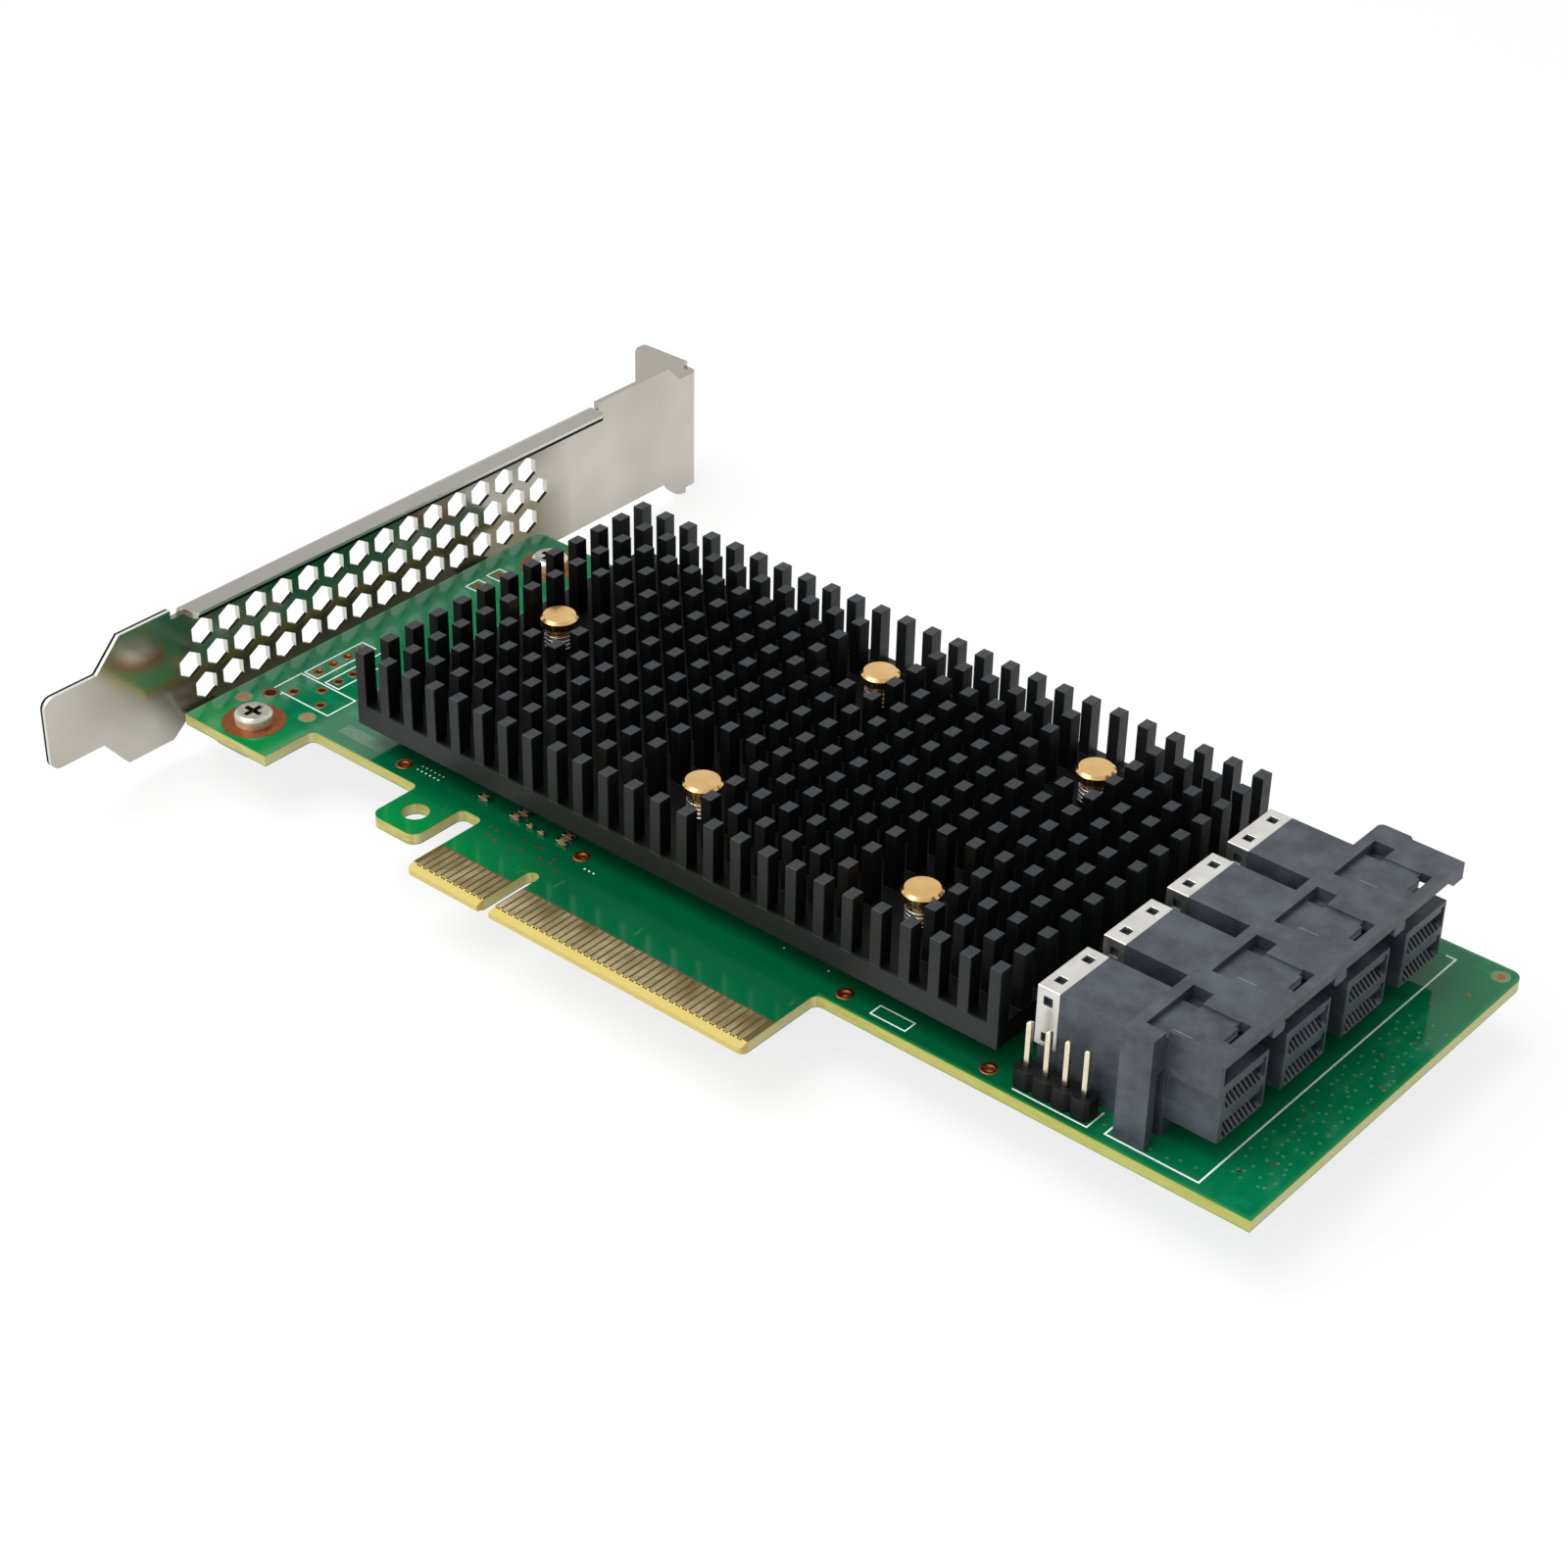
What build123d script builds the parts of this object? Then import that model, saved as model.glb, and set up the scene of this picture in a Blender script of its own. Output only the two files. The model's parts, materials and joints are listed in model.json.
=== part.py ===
"""Host bus adapter: a low card with a slot bracket, a pin heat sink and a four-port connector.

Sizes are in millimetres.  Board coordinates are used throughout: x runs along the card from its
bracket end, y runs across it from the tips of the edge contacts, and height is above the top face
of the board.  The part's own origin is at the bottom centre of the whole card, +X towards the
ports, +Z out of the component side.
"""
from build123d import *
import math
import os

os.makedirs("parts", exist_ok=True)

# Circuit board
board_length = 155.0
board_depth = 68.9
board_thickness = 1.57
board_front = 12.85
board_corner_radius = 1.5
inner_corner_radius = 1.0
ear_width = 14.84
ear_front = 4.85
hold_down_left = 33.81
hold_down_width = 7.52
hold_down_front = 4.73
hold_down_hole_diameter = 3.5
hold_down_hole_setback = 3.94
finger_block_left = 44.97
finger_block_width = 52.19
finger_bevel_length = 1.15
finger_bevel_height = 0.42
finger_corner_radius = 0.6
key_notch_centre = 57.57
key_notch_width = 1.9
key_notch_depth = 9.0

# Edge contacts
contact_pitch = 1.0
contact_width = 0.7
contact_length = 4.5
contact_thickness = 0.05
contact_setback = 1.15
first_contact = 46.07
contacts_before_key = 11
contacts_after_key = 38
key_gap = 2.0

# Slot bracket, one folded sheet
sheet = 0.86
bend_inside = 0.4
bracket_height = 120.02
bracket_width = 18.42
bracket_tip_below_fingers = 13.36
bracket_below_board_top = 5.95
bracket_gap = 3.93
tongue_width = 10.15
tongue_rise = 4.25
tongue_length = 8.26
tongue_corner_radius = 1.5
tongue_taper = 3.96
tongue_lower_taper_length = 3.5
lip_start = 8.7
lip_end_from_top = 22.76
lip_reach = 3.0
lip_relief_width = 1.6
lip_corner_radius = 0.9
shoulder_from_top = 6.46
shoulder_drop = 2.5
flare_from_top = 6.86
flare_run = 4.2
flare_drop = 3.05
flange_reach = 10.81
flange_above_shoulder = 0.85
flange_side_relief = 0.8
flange_corner_radius = 1.6
screw_notch_width = 4.42
screw_notch_depth = 5.6
screw_notch_from_plate = 5.9
vent_across_flats = 3.4
vent_pitch = 4.54
vent_rows = ((7.5, 11.88), (3.5, 9.52), (-0.5, 11.8))
vents_end_before_lip = 9.9
foot_neck_width = 5.2
foot_neck_offset = 1.9
foot_neck_length = 9.0
foot_joggle_start = 2.3
foot_pad_length = 8.4
foot_width = 8.0
foot_corner_radius = 2.0
thread_clearance = 0.04
foot_relief = 0.5
foot_slope_start = 5.75
foot_slope_run = 2.65
foot_slope_rise = 2.15

# Bracket screws and the copper rings under them
screw_from_left = 7.7
near_screw = 9.5
far_screw_setback = 5.7
screw_head_diameter = 4.9
screw_head_height = 1.5
screw_head_edge = 0.4
screw_shank_diameter = 2.5
screw_hole_clearance = 0.1
screw_end_below_board = 1.4
recess_length = 2.7
recess_width = 0.7
recess_depth = 0.9
ring_diameter = 8.2
ring_thickness = 0.05

# Heat sink
sink_columns = 25
sink_rows = 13
sink_pitch_x = 4.07
sink_pitch_y = 4.195
sink_first_x = 22.3
sink_first_y = 15.74
pin_length_x = 1.5
pin_length_y = 1.9
sink_base_thickness = 3.0
sink_height = 10.3
sink_margin = 0.05
pin_clearings = ((2, 5), (11, 1), (19, 1), (11, 9), (19, 9))
clearing_columns = 2
clearing_rows = 3

# Controller chip below the heat sink
chip_size = 29.0
chip_centre = (86.2, 41.0)
substrate_thickness = 1.2
lid_size = 25.0
lid_corner_radius = 1.0
lid_thickness = 1.5
thermal_pad_thickness = 0.4
thermal_pad_size = 23.0

# Sprung push pins
push_pin_places = ((31.0, 41.0), (69.9, 24.5), (102.6, 24.5), (69.9, 57.5), (102.6, 57.5))
push_pin_top = 11.0
push_pin_head_diameter = 4.9
push_pin_head_side = 1.3
push_pin_head_taper = 0.9
push_pin_head_edge = 0.35
push_pin_shank_diameter = 2.6
push_pin_hole_clearance = 0.15
push_pin_barb_diameter = 3.6
push_pin_barb_length = 1.5
push_pin_barb_tip = 0.4
push_pin_barb_seat = 0.35
spring_diameter = 4.1
spring_wire = 0.45
spring_turns = 3
spring_wall = 0.2

# Four-port connector
port_count = 4
port_pitch = 12.0
first_port = 17.45
port_block_width = 9.05
port_block_height = 12.0
port_block_rear = 126.6
block_ledge_height = 6.2
block_ledge_depth = 0.2
housing_low_end = 14.6
housing_high_end = 65.1
housing_rear = 136.4
housing_step = 140.4
housing_front = 147.6
housing_top = 14.4
housing_plate_thickness = 1.2
housing_plate_high_end = 64.6
housing_leg_thickness = 1.3
housing_end_block = 4.9
housing_corner_radius = 0.8
housing_step_chamfer = 0.5
side_wall_thickness = 0.65
side_wall_bottom = 9.0
hanging_tab_offset = 8.55
hanging_tab_width = 2.35
hanging_tab_drop = 1.3
hanging_tab_radius = 0.5
hanging_tab_length = 1.0
hook_width = 2.0
hook_ramp = 1.3
hook_drop = 1.0
nose_offset = 0.45
nose_width = 8.75
nose_bottom = 2.6
nose_height = 7.47
nose_front = 147.1
nose_ledge_height = 5.4
nose_ledge_depth = 0.15
slot_count = 9
slot_pitch = 0.75
slot_width = 0.42
slot_height = 2.3
slot_depth = 3.0
slot_first = 1.95
slot_row_heights = (2.75, 6.6)
comb_offset = 1.3
comb_width = 7.5
comb_depth = 1.05
key_cavity_offset = 8.25
key_cavity_width = 0.55
key_cavity_rise = 0.5
blade_width = 0.3
blade_length = 2.3
blade_height = 0.4
latch_recess_depth = 0.75
latch_recess_rear = 137.8
latch_recess_offset = -0.55
latch_recess_width = 8.7
latch_pocket_width = 2.1
latch_pocket_depth = 1.6
panel_recess_depth = 0.25
panel_recess_offset = 0.35
panel_recess_width = 5.6
panel_recess_front = 146.4
window_rear = 145.35
window_offset = 2.45
window_width = 3.7
window_end_rear = 145.0
window_end_width = 0.9

# Rear clips of the ports
clip_sheet = 0.3
clip_length = 2.95
clip_bottom = 4.3
clip_hole = 1.2
clip_top_holes = (2.2, 7.15)
clip_side_holes = (5.45, 10.3)
clip_pocket_depth = 0.5

# Pin header
header_pins_count = 4
header_pitch = 2.54
header_gap = 3.11
header_row = 15.5
header_depth = 2.6
header_height = 2.54
header_notch = 0.5
header_pin_width = 0.64
header_pin_top = 8.5
header_pin_tip = 0.15
header_tail = 0.75
header_hole_diameter = 1.05

# Plated holes that stay open
tooling_holes = ((28.97, 15.1), (59.1, 15.1), (99.6, 15.0), (119.8, 15.0))
tooling_hole_diameter = 1.3
led_holes_start = (4.9, 23.05)
led_hole_count = 4
led_hole_diameter = 0.95

# Small chip components: x, y, length along x, width along y, height
small_chips = (
    (42.0, 16.1, 1.6, 0.8, 0.5),
    (47.8, 15.6, 1.6, 0.8, 0.5),
    (48.0, 16.9, 1.6, 0.8, 0.5),
    (50.4, 15.4, 1.0, 0.5, 0.45),
    (52.4, 15.2, 1.0, 0.5, 0.45),
    (55.6, 15.5, 1.6, 0.8, 0.5),
    (55.4, 16.8, 1.6, 0.8, 0.5),
)
terminal_share = 0.22

# Places worked out from the sizes above
screw_rows = (near_screw, board_depth - far_screw_setback)
header_first_pin = housing_rear - header_gap - (header_pins_count - 0.5) * header_pitch
board_left = board_length / -2 + (flange_reach + sheet + bracket_gap) / 2
finger_tips = bracket_tip_below_fingers - bracket_height / 2
board_top = bracket_below_board_top + flare_drop
plate_inner = -bracket_gap
plate_outer = plate_inner - sheet
bracket_low = -bracket_below_board_top
bracket_high = bracket_low + bracket_width
bracket_tip = -bracket_tip_below_fingers
bracket_top = bracket_tip + bracket_height
bend_middle = bend_inside + sheet / 2
bend_outside = bend_inside + sheet
sink_top = thermal_pad_thickness + substrate_thickness + lid_thickness + sink_height
sink_bottom = sink_top - sink_height
pin_bottom = sink_bottom + sink_base_thickness
head_bottom = push_pin_top - push_pin_head_side
taper_bottom = head_bottom - push_pin_head_taper
block_front = housing_step
screw_top = ring_thickness + screw_head_height

near = 0.01

# Planes: board coordinates lie in the first, and sections across and along the card in the others
board_plane = Plane(origin=(board_left, finger_tips, board_top))


def level(height):
    """The plane parallel to the board at this height above its top face."""
    return board_plane.offset(height)


def section_across(x):
    """The plane across the card at x, with (y, height) as its coordinates and +X as its normal."""
    return Plane(origin=(board_left + x, finger_tips, board_top), x_dir=(0, 1, 0), z_dir=(1, 0, 0))


def section_along(y):
    """The plane along the card at y, with (x, height) as its coordinates and -Y as its normal."""
    return Plane(origin=(board_left, finger_tips + y, board_top), x_dir=(1, 0, 0), z_dir=(0, -1, 0))


def rectangle(x0, x1, y0, y1, mode=Mode.ADD):
    """A sketch rectangle between two corners."""
    with Locations(((x0 + x1) / 2, (y0 + y1) / 2)):
        Rectangle(x1 - x0, y1 - y0, mode=mode)


def block(x_range, y_range, z_range, mode=Mode.ADD):
    """A box between two corners of board coordinates, added to or cut from the part being built."""
    low = board_plane.from_local_coords((x_range[0], y_range[0], z_range[0]))
    size = (x_range[1] - x_range[0], y_range[1] - y_range[0], z_range[1] - z_range[0])
    with Locations(low):
        Box(*size, align=(Align.MIN, Align.MIN, Align.MIN), mode=mode)


def port_start(port):
    """The y at which a port's block begins."""
    return first_port + port * port_pitch


# Circuit board: one outline with its ear, hold-down tab, finger block and key notch
with BuildPart() as circuit_board:
    with BuildSketch(level(-board_thickness)) as outline:
        rectangle(0, board_length, board_front, board_depth)
        rectangle(0, ear_width, ear_front, board_front)
        rectangle(hold_down_left, hold_down_left + hold_down_width, hold_down_front, board_front)
        rectangle(finger_block_left, finger_block_left + finger_block_width, 0, board_front)
        inner_corners = outline.vertices().filter_by_position(Axis.Y, board_front - near, board_front + near)
        fillet(inner_corners.sort_by(Axis.X)[:-1], inner_corner_radius)
        fillet(outline.vertices().group_by(Axis.Y)[-1], board_corner_radius)
        tab_corners = outline.vertices().filter_by_position(Axis.Y, hold_down_front - near, hold_down_front + near)
        fillet(tab_corners, board_corner_radius)
        fillet(outline.vertices().group_by(Axis.Y)[0], finger_corner_radius)
        rectangle(
            key_notch_centre - key_notch_width / 2,
            key_notch_centre + key_notch_width / 2,
            0,
            key_notch_depth - key_notch_width / 2,
            mode=Mode.SUBTRACT,
        )
        with Locations((key_notch_centre, key_notch_depth - key_notch_width / 2)):
            Circle(key_notch_width / 2, mode=Mode.SUBTRACT)
    extrude(amount=board_thickness)

    # Bevel along the finger tips, on both faces
    with BuildSketch(section_across(finger_block_left)):
        with BuildLine():
            Polyline((0, 0), (finger_bevel_length, 0), (0, -finger_bevel_height), close=True)
        make_face()
        with BuildLine():
            Polyline(
                (0, -board_thickness),
                (finger_bevel_length, -board_thickness),
                (0, finger_bevel_height - board_thickness),
                close=True,
            )
        make_face()
    extrude(amount=finger_block_width, mode=Mode.SUBTRACT)

    # Holes through the board
    with BuildSketch(level(0)):
        with Locations((hold_down_left + hold_down_width / 2, hold_down_front + hold_down_hole_setback)):
            Circle(hold_down_hole_diameter / 2)
        with Locations(*[(screw_from_left, row) for row in screw_rows]):
            Circle(screw_shank_diameter / 2 + screw_hole_clearance)
        with Locations(*push_pin_places):
            Circle(push_pin_shank_diameter / 2 + push_pin_hole_clearance)
        with Locations(*[(header_first_pin + i * header_pitch, header_row) for i in range(header_pins_count)]):
            Circle(header_hole_diameter / 2)
        with Locations(*tooling_holes):
            Circle(tooling_hole_diameter / 2)
        with Locations(*[(led_holes_start[0], led_holes_start[1] + i * header_pitch) for i in range(led_hole_count)]):
            Circle(led_hole_diameter / 2)
    extrude(amount=-board_thickness, mode=Mode.SUBTRACT)
circuit_board.part.label = "circuit_board"
export_step(circuit_board.part, "parts/circuit_board.step")

# Edge contacts: one row of gold pads on each face, leaving out the key
contact_places = [first_contact + i * contact_pitch for i in range(contacts_before_key)]
after_key = contact_places[-1] + contact_pitch + key_gap
contact_places += [after_key + i * contact_pitch for i in range(contacts_after_key)]
contact_middle = contact_setback + contact_length / 2

with BuildPart() as edge_contacts_top:
    with BuildSketch(level(0)):
        with Locations(*[(x, contact_middle) for x in contact_places]):
            Rectangle(contact_width, contact_length)
    extrude(amount=contact_thickness)
edge_contacts_top.part.label = "edge_contacts_top"
export_step(edge_contacts_top.part, "parts/edge_contacts_top.step")

with BuildPart() as edge_contacts_bottom:
    with BuildSketch(level(-board_thickness)):
        with Locations(*[(x, contact_middle) for x in contact_places]):
            Rectangle(contact_width, contact_length)
    extrude(amount=-contact_thickness)
edge_contacts_bottom.part.label = "edge_contacts_bottom"
export_step(edge_contacts_bottom.part, "parts/edge_contacts_bottom.step")

# Slot bracket: plate, lip, flange and two feet folded from one sheet
lip_end = bracket_top - lip_end_from_top
vents_end = lip_end - vents_end_before_lip
shoulder_start = bracket_top - shoulder_from_top
flare_start = bracket_top - flare_from_top
shoulder_height = bracket_high - shoulder_drop
flare_low = bracket_low - flare_drop
flange_fold = bracket_top - bend_outside
flare_end = flare_start + flare_run
flare_radius = (flare_run**2 + flare_drop**2) / (2 * flare_drop)
flare_turn = math.degrees(math.asin(flare_run / flare_radius))
foot_top = -board_thickness
foot_low = foot_top - sheet
foot_edge = bracket_low + foot_slope_rise
foot_fold = foot_edge - sheet + bend_outside
tongue_low = bracket_low + tongue_rise
tongue_high = tongue_low + tongue_width
tongue_end = bracket_tip + tongue_length
plate_fold = bracket_high - bend_outside
last_screw_row = screw_rows[-1]
slope_end = foot_slope_start + foot_slope_run
far_slope_start = last_screw_row + screw_rows[0] - slope_end
far_slope_end = far_slope_start + foot_slope_run

with BuildPart() as bracket:
    # Flat plate
    with BuildSketch(section_across(plate_outer)):
        with BuildLine():
            Polyline(
                (flare_start, bracket_low),
                (far_slope_end, bracket_low),
                (far_slope_start, foot_edge),
                (slope_end, foot_edge),
                (foot_slope_start, bracket_low),
                (tongue_end + tongue_lower_taper_length, bracket_low),
                (tongue_end, tongue_low),
                (bracket_tip, tongue_low),
                (bracket_tip, tongue_high),
                (tongue_end, tongue_high),
                (tongue_end + tongue_taper, bracket_high),
                (lip_start - lip_relief_width, bracket_high),
                (lip_start - lip_relief_width, plate_fold),
                (lip_end + lip_relief_width, plate_fold),
                (lip_end + lip_relief_width, bracket_high),
                (shoulder_start, bracket_high),
                (shoulder_start + shoulder_drop, shoulder_height),
                (flange_fold, shoulder_height),
                (flange_fold, flare_low + flange_side_relief),
                (flare_end, flare_low + flange_side_relief),
                (flare_end, flare_low),
            )
            RadiusArc((flare_start, bracket_low), (flare_end, flare_low), -flare_radius)
        make_face()
    extrude(amount=sheet)
    tip_y = finger_tips + bracket_tip
    tongue_tips = bracket.edges().filter_by(Axis.X).filter_by_position(Axis.Y, tip_y - near, tip_y + near)
    fillet(tongue_tips, tongue_corner_radius)

    # Lip folded inwards along the upper edge
    with BuildSketch(section_along(lip_start)):
        with BuildLine():
            FilletPolyline(
                (plate_outer + sheet / 2, plate_fold - sheet),
                (plate_outer + sheet / 2, bracket_high - sheet / 2),
                (plate_inner + lip_reach, bracket_high - sheet / 2),
                radius=bend_middle,
            )
        trace(line_width=sheet)
    extrude(amount=lip_start - lip_end)
    lip_edge_x = board_left + plate_inner + lip_reach
    lip_tips = bracket.edges().filter_by(Axis.Z).filter_by_position(Axis.X, lip_edge_x - near, lip_edge_x + near)
    fillet(lip_tips, lip_corner_radius)

    # Flange folded outwards at the top, with its screw notch
    with BuildSketch(level(flare_low + flange_side_relief)):
        with BuildLine():
            FilletPolyline(
                (plate_outer + sheet / 2, flange_fold - sheet),
                (plate_outer + sheet / 2, bracket_top - sheet / 2),
                (plate_inner - bend_outside - flange_side_relief, bracket_top - sheet / 2),
                radius=bend_middle,
            )
        trace(line_width=sheet)
    extrude(amount=shoulder_height - flare_low - flange_side_relief)
    flange_near = plate_inner - bend_outside - flange_side_relief
    flange_far = plate_outer - flange_reach
    with BuildSketch(section_along(bracket_top)):
        rectangle(flange_far, flange_near, flare_low, shoulder_height + flange_above_shoulder)
        notch_x = plate_outer - screw_notch_from_plate
        rectangle(
            notch_x - screw_notch_width / 2,
            notch_x + screw_notch_width / 2,
            flare_low,
            flare_low + screw_notch_depth - screw_notch_width / 2,
            mode=Mode.SUBTRACT,
        )
        with Locations((notch_x, flare_low + screw_notch_depth - screw_notch_width / 2)):
            Circle(screw_notch_width / 2, mode=Mode.SUBTRACT)
    extrude(amount=sheet)
    flange_x = board_left + flange_far
    flange_tips = bracket.edges().filter_by(Axis.Y).filter_by_position(Axis.X, flange_x - near, flange_x + near)
    fillet(flange_tips, flange_corner_radius)

    # Feet folded inwards from the lower edge, with a joggle up to the board and a threaded pad
    with BuildSketch(section_along(0), mode=Mode.PRIVATE) as foot_strip:
        run_middle = foot_edge - sheet / 2
        joggle_rise = foot_top - foot_edge
        with BuildLine():
            FilletPolyline(
                (plate_outer + sheet / 2, foot_fold + sheet),
                (plate_outer + sheet / 2, run_middle),
                (plate_inner + foot_joggle_start, run_middle),
                (plate_inner + foot_joggle_start + joggle_rise, run_middle + joggle_rise),
                (plate_inner + foot_neck_length, run_middle + joggle_rise),
                radius=bend_middle,
            )
        trace(line_width=sheet)
    for row, side in zip(screw_rows, (1, -1)):
        neck_start = row + side * foot_neck_offset - foot_neck_width / 2
        block(
            (plate_outer, plate_inner),
            (neck_start - foot_relief, neck_start + foot_neck_width + foot_relief),
            (bracket_low, foot_fold),
            mode=Mode.SUBTRACT,
        )
        extrude(foot_strip.sketch.moved(Location((0, neck_start, 0))), amount=foot_neck_width, dir=(0, 1, 0))
        with BuildSketch(level(foot_low)) as foot_pad:
            rectangle(
                screw_from_left - foot_pad_length / 2,
                screw_from_left + foot_pad_length / 2,
                row - foot_width / 2,
                row + foot_width / 2,
            )
            fillet(foot_pad.vertices(), foot_corner_radius)
        extrude(amount=sheet)

    # Threaded holes in the feet
    with BuildSketch(level(foot_low)):
        with Locations(*[(screw_from_left, row) for row in screw_rows]):
            Circle(screw_shank_diameter / 2 + thread_clearance)
    extrude(amount=sheet, mode=Mode.SUBTRACT)

    # Three rows of hexagonal vents with their corners up and down
    with BuildSketch(section_across(plate_outer)):
        for height, start in vent_rows:
            count = int((vents_end - start) / vent_pitch) + 1
            with Locations(*[(start + i * vent_pitch, height) for i in range(count)]):
                RegularPolygon(vent_across_flats / 2, 6, major_radius=False, rotation=30)
    extrude(amount=sheet, mode=Mode.SUBTRACT)
bracket.part.label = "bracket"
export_step(bracket.part, "parts/bracket.step")

# Bracket screws: low pan heads with a cross recess
with BuildPart() as bracket_screws:
    for row in screw_rows:
        with BuildSketch(section_along(row)):
            with BuildLine():
                Polyline(
                    (screw_from_left, -board_thickness - screw_end_below_board),
                    (screw_from_left + screw_shank_diameter / 2, -board_thickness - screw_end_below_board),
                    (screw_from_left + screw_shank_diameter / 2, ring_thickness),
                    (screw_from_left + screw_head_diameter / 2, ring_thickness),
                    (screw_from_left + screw_head_diameter / 2, screw_top - screw_head_edge),
                    (screw_from_left + screw_head_diameter / 2 - screw_head_edge, screw_top),
                    (screw_from_left, screw_top),
                    close=True,
                )
            make_face()
        revolve(axis=Axis(section_along(row).from_local_coords((screw_from_left, 0)), (0, 0, 1)))
    with BuildSketch(level(screw_top)):
        with Locations(*[(screw_from_left, row) for row in screw_rows]):
            Rectangle(recess_length, recess_width)
            Rectangle(recess_width, recess_length)
    extrude(amount=-recess_depth, mode=Mode.SUBTRACT)
bracket_screws.part.label = "bracket_screws"
export_step(bracket_screws.part, "parts/bracket_screws.step")

# Copper rings below the screw heads
with BuildPart() as ground_rings:
    with BuildSketch(level(0)):
        with Locations(*[(screw_from_left, row) for row in screw_rows]):
            Circle(ring_diameter / 2)
            Circle(screw_shank_diameter / 2 + screw_hole_clearance, mode=Mode.SUBTRACT)
    extrude(amount=ring_thickness)
ground_rings.part.label = "ground_rings"
export_step(ground_rings.part, "parts/ground_rings.step")

# Heat sink: a flat base and a field of square pins, with five clearings for the push pins
cleared = set()
for column, row in pin_clearings:
    for i in range(clearing_columns):
        for j in range(clearing_rows):
            cleared.add((column + i, row + j))
sink_places = []
for i in range(sink_columns):
    for j in range(sink_rows):
        if (i, j) not in cleared:
            sink_places.append((sink_first_x + i * sink_pitch_x, sink_first_y + j * sink_pitch_y))

with BuildPart() as heat_sink:
    with BuildSketch(level(sink_bottom)):
        rectangle(
            sink_first_x - pin_length_x / 2 - sink_margin,
            sink_first_x + (sink_columns - 1) * sink_pitch_x + pin_length_x / 2 + sink_margin,
            sink_first_y - pin_length_y / 2 - sink_margin,
            sink_first_y + (sink_rows - 1) * sink_pitch_y + pin_length_y / 2 + sink_margin,
        )
        with Locations(*push_pin_places):
            Circle(push_pin_shank_diameter / 2 + push_pin_hole_clearance, mode=Mode.SUBTRACT)
    extrude(amount=sink_base_thickness)
    with BuildSketch(level(pin_bottom)):
        with Locations(*sink_places):
            Rectangle(pin_length_x, pin_length_y)
    extrude(amount=sink_top - pin_bottom)
heat_sink.part.label = "heat_sink"
export_step(heat_sink.part, "parts/heat_sink.step")

# Controller chip: substrate, metal lid and the thermal pad that carries its heat to the sink
lid_bottom = substrate_thickness
pad_bottom = lid_bottom + lid_thickness

with BuildPart() as controller_substrate:
    with BuildSketch(level(0)):
        with Locations(chip_centre):
            Rectangle(chip_size, chip_size)
    extrude(amount=substrate_thickness)
controller_substrate.part.label = "controller_substrate"
export_step(controller_substrate.part, "parts/controller_substrate.step")

with BuildPart() as controller_lid:
    with BuildSketch(level(lid_bottom)):
        with Locations(chip_centre):
            RectangleRounded(lid_size, lid_size, lid_corner_radius)
    extrude(amount=lid_thickness)
controller_lid.part.label = "controller_lid"
export_step(controller_lid.part, "parts/controller_lid.step")

with BuildPart() as thermal_pad:
    with BuildSketch(level(pad_bottom)):
        with Locations(chip_centre):
            Rectangle(thermal_pad_size, thermal_pad_size)
    extrude(amount=thermal_pad_thickness)
thermal_pad.part.label = "thermal_pad"
export_step(thermal_pad.part, "parts/thermal_pad.step")

# Push pins: turned heads, shanks through sink and board, and barbed ends below the board
shank_radius = push_pin_shank_diameter / 2
head_radius = push_pin_head_diameter / 2
barb_radius = push_pin_barb_diameter / 2
with BuildPart() as push_pins:
    for x, y in push_pin_places:
        with BuildSketch(section_along(y)):
            with BuildLine():
                Polyline(
                    (x, -board_thickness - push_pin_barb_length),
                    (x + shank_radius - push_pin_barb_tip, -board_thickness - push_pin_barb_length),
                    (x + barb_radius, -board_thickness - push_pin_barb_seat),
                    (x + shank_radius, -board_thickness),
                    (x + shank_radius, taper_bottom),
                    (x + head_radius, head_bottom),
                    (x + head_radius, push_pin_top - push_pin_head_edge),
                    (x + head_radius - push_pin_head_edge, push_pin_top),
                    (x, push_pin_top),
                    close=True,
                )
            make_face()
        revolve(axis=Axis(section_along(y).from_local_coords((x, 0)), (0, 0, 1)))
push_pins.part.label = "push_pins"
export_step(push_pins.part, "parts/push_pins.step")

# Springs of the push pins, each drawn as a close-wound sleeve with one ridge a turn
spring_outer = spring_diameter / 2
spring_inner = spring_outer - spring_wire
spring_height = taper_bottom - pin_bottom
turn_height = spring_height / spring_turns
with BuildPart() as push_pin_springs:
    for x, y in push_pin_places:
        with BuildSketch(section_along(y)):
            with BuildLine():
                ridges = []
                for turn in range(spring_turns):
                    ridges.append((x + spring_inner + spring_wall, pin_bottom + turn * turn_height))
                    ridges.append((x + spring_outer, pin_bottom + (turn + 0.5) * turn_height))
                ridges.append((x + spring_inner + spring_wall, taper_bottom))
                Polyline(
                    (x + spring_inner, taper_bottom),
                    (x + spring_inner, pin_bottom),
                    *ridges,
                    close=True,
                )
            make_face()
        revolve(axis=Axis(section_along(y).from_local_coords((x, 0)), (0, 0, 1)))
push_pin_springs.part.label = "push_pin_springs"
export_step(push_pin_springs.part, "parts/push_pin_springs.step")

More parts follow.
